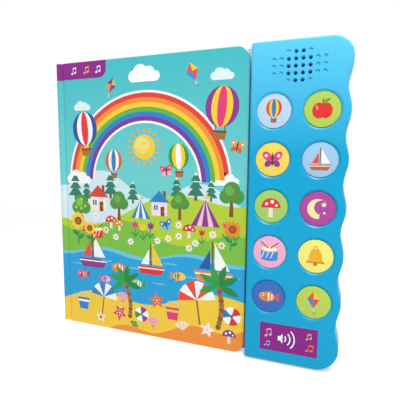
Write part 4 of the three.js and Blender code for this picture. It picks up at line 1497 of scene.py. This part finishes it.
class SOUNDBOOK_OT_cover_print(bpy.types.Operator):
    """Prints the cover's motifs, its daisies and the rays of its sun"""
    bl_idname = "sound_book.cover_print"
    bl_label = "Cover print"

    def execute(self, context):
        daisies = [on_cover(x, y) for x, y in DAISIES]
        sheet = Print("cover_motifs", COVER[0].y)
        sheet.stamp_table(COVER_PRINT, on_cover)
        for place in daisies:
            sheet.stamp(flower_heart, place, DAISY_HEART)
        sheet.finish("front_cover", "cover_wrap")
        petals("daisies", daisies, {
            "Petals": 7, "Ring Radius": 2.2 * MM, "Petal Length": 2.6 * MM, "Petal Width": 1.5 * MM,
            "Material": ink(WHITE),
        })
        petals("sun_rays", [on_cover(*SUN_PLACE)], {
            "Petals": 16, "Ring Radius": 15 * MM, "Petal Length": 5.5 * MM, "Petal Width": 1.8 * MM,
            "Material": ink(RAY_GOLD),
        })
        return {"FINISHED"}


class SOUNDBOOK_OT_button_print(bpy.types.Operator):
    """Prints one plain picture on each button"""
    bl_idname = "sound_book.button_print"
    bl_label = "Button print"

    def execute(self, context):
        for number, (motif, inks) in enumerate(BUTTON_PRINT, 1):
            centre = button_centre(number)
            sheet = Print(f"picture_{number}", centre.y)
            sheet.stamp(motif, complex(centre.x, centre.z), book_sizes().button_print, 0, inks)
            sheet.finish(f"button_{number}", "button_caps")
        return {"FINISHED"}


class SOUNDBOOK_OT_label(bpy.types.Operator):
    """Sticks the purple label on the module, with notes and sound waves"""
    bl_idname = "sound_book.label"
    bl_label = "Label"

    def execute(self, context):
        sizes = book_sizes()
        middle = complex(HOUSING[0].x + sizes.label_across, HOUSING[0].z + sizes.label_up)
        half = complex(sizes.label_width, sizes.label_height) / 2
        corners = [middle - half, middle + half.conjugate(), middle + half, middle - half.conjugate()]
        plate_order = 2
        sheet = Print("module_label", HOUSING[0].y)
        sheet.shape(PLATE_PURPLE, corners, plate_order)
        sheet.stamps.append((middle, abs(half), plate_order + 1))
        sheet.stamp_table(LABEL_PRINT, lambda x, y: middle + complex(x, y) * MM)
        sheet.finish("module_and_back", "module_plastic")
        return {"FINISHED"}


class SOUNDBOOK_OT_stage(bpy.types.Operator):
    """Sets the floor, the lamps and the camera"""
    bl_idname = "sound_book.stage"
    bl_label = "Stage"
    camera_place = (116.2 * MM, -287.4 * MM, 166.6 * MM)
    camera_turn = (83.551, -0.533, 19.473)
    camera_lens = 31.555
    lamps = (("key", (0.45, -1.0, 1.55), 0.5, 28.0), ("rear", (0.3, 1.0, 1.0), 0.8, 9.0))
    lamp_target = Vector((0, 0, 0.13))
    studio_light = 0.3
    floor_size = 12
    floor_tone = 0.6
    floor_glow = 0.47
    floor_fade = (0.3, 1.1)  # distances from the book between which the floor turns plain white

    def plain(self, tree):
        """Mask of the rays that see plain white: from the camera, from reflections and through glass."""
        path = tree.nodes.new("ShaderNodeLightPath")
        seen = calc(tree, "MAXIMUM", path.outputs["Is Camera Ray"], path.outputs["Is Transmission Ray"])
        return calc(tree, "MAXIMUM", seen, path.outputs["Is Glossy Ray"])

    def fade(self, tree):
        """Share of plain white in the floor, which grows with the distance from the book."""
        reach = tree.nodes.new("ShaderNodeVectorMath")
        reach.operation = "LENGTH"
        tree.links.new(place_in(tree), reach.inputs[0])
        far = tree.nodes.new("ShaderNodeMapRange")
        far.interpolation_type = "SMOOTHSTEP"
        far.inputs["From Min"].default_value, far.inputs["From Max"].default_value = self.floor_fade
        tree.links.new(reach.outputs["Value"], far.inputs["Value"])
        return far.outputs["Result"]

    def floor(self):
        """A pale floor that keeps the object's shadow and turns plain white farther off."""
        material = bpy.data.materials.new("floor")
        material.use_nodes = True
        tree = material.node_tree
        shader = tree.nodes["Principled BSDF"]
        shader.inputs["Base Color"].default_value = (self.floor_tone, self.floor_tone, self.floor_tone, 1)
        shader.inputs["Roughness"].default_value = 0.9
        shader.inputs["Specular IOR Level"].default_value = 0.0
        glow, lift = tree.nodes.new("ShaderNodeEmission"), tree.nodes.new("ShaderNodeAddShader")
        blank, choice = tree.nodes.new("ShaderNodeEmission"), tree.nodes.new("ShaderNodeMixShader")
        plain = self.plain(tree)
        tree.links.new(calc(tree, "MULTIPLY", plain, self.floor_glow), glow.inputs["Strength"])
        tree.links.new(shader.outputs[0], lift.inputs[0])
        tree.links.new(glow.outputs[0], lift.inputs[1])
        tree.links.new(calc(tree, "MULTIPLY", plain, self.fade(tree)), choice.inputs[0])
        tree.links.new(lift.outputs[0], choice.inputs[1])
        tree.links.new(blank.outputs[0], choice.inputs[2])
        tree.links.new(choice.outputs[0], tree.nodes["Material Output"].inputs["Surface"])
        bpy.ops.mesh.primitive_plane_add(size=self.floor_size, location=(0, 0, FLOOR))
        plane = bpy.context.object
        plane.name = "floor"
        plane.data.materials.append(material)

    def world(self):
        """Even studio light, and a plain white background."""
        world = bpy.data.worlds.new("studio")
        bpy.context.scene.world = world
        world.use_nodes = True
        tree = world.node_tree
        background = tree.nodes["Background"].inputs
        lift = calc(tree, "MULTIPLY", self.plain(tree), 1 - self.studio_light)
        tree.links.new(calc(tree, "ADD", self.studio_light, lift), background["Strength"])
        background["Color"].default_value = (1, 1, 1, 1)

    def lamp(self, name, place, size, power):
        """A square soft lamp that faces the middle of the book."""
        light = bpy.data.lights.new(name, "AREA")
        light.size, light.energy = size, power
        holder = linked(name, light)
        holder.location = place
        holder.rotation_euler = (self.lamp_target - holder.location).to_track_quat("-Z", "Y").to_euler()

    def camera(self):
        """The camera at the photograph's place."""
        camera = bpy.data.cameras.new("camera")
        camera.lens, camera.sensor_width = self.camera_lens, 36.0
        camera.clip_start, camera.clip_end = 0.01, 50.0
        holder = linked("camera", camera)
        holder.location = self.camera_place
        holder.rotation_euler = Euler([math.radians(a) for a in self.camera_turn])
        return holder

    def execute(self, context):
        context.scene.view_settings.view_transform = "Standard"
        self.floor()
        self.world()
        for lamp in self.lamps:
            self.lamp(*lamp)
        context.scene.camera = self.camera()
        return {"FINISHED"}


STEPS = (
    SOUNDBOOK_OT_case, SOUNDBOOK_OT_pages, SOUNDBOOK_OT_housing, SOUNDBOOK_OT_buttons,
    SOUNDBOOK_OT_electronics, SOUNDBOOK_OT_cover_print, SOUNDBOOK_OT_button_print, SOUNDBOOK_OT_label,
    SOUNDBOOK_OT_stage,
)


class SOUNDBOOK_PT_steps(bpy.types.Panel):
    """Lists the steps that make the sound book"""
    bl_label = "Sound Book"
    bl_space_type = "VIEW_3D"
    bl_region_type = "UI"
    bl_category = "Sound Book"

    def draw(self, context):
        for step in STEPS:
            self.layout.operator(step.bl_idname)


CLASSES = (SoundBookSizes, SoundBookColours, *STEPS, SOUNDBOOK_PT_steps)


def register():
    """Registers the settings, the steps and their panel."""
    for kind in CLASSES:
        bpy.utils.register_class(kind)
    bpy.types.Scene.sound_book_sizes = PointerProperty(type=SoundBookSizes)
    bpy.types.Scene.sound_book_colours = PointerProperty(type=SoundBookColours)


def unregister():
    """Takes the settings, the steps and their panel away."""
    del bpy.types.Scene.sound_book_sizes, bpy.types.Scene.sound_book_colours
    for kind in reversed(CLASSES):
        bpy.utils.unregister_class(kind)


def main():
    """Runs every step in order."""
    register()
    for step in STEPS:
        group, name = step.bl_idname.split(".")
        getattr(getattr(bpy.ops, group), name)()
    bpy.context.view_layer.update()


if __name__ == "__main__":
    main()
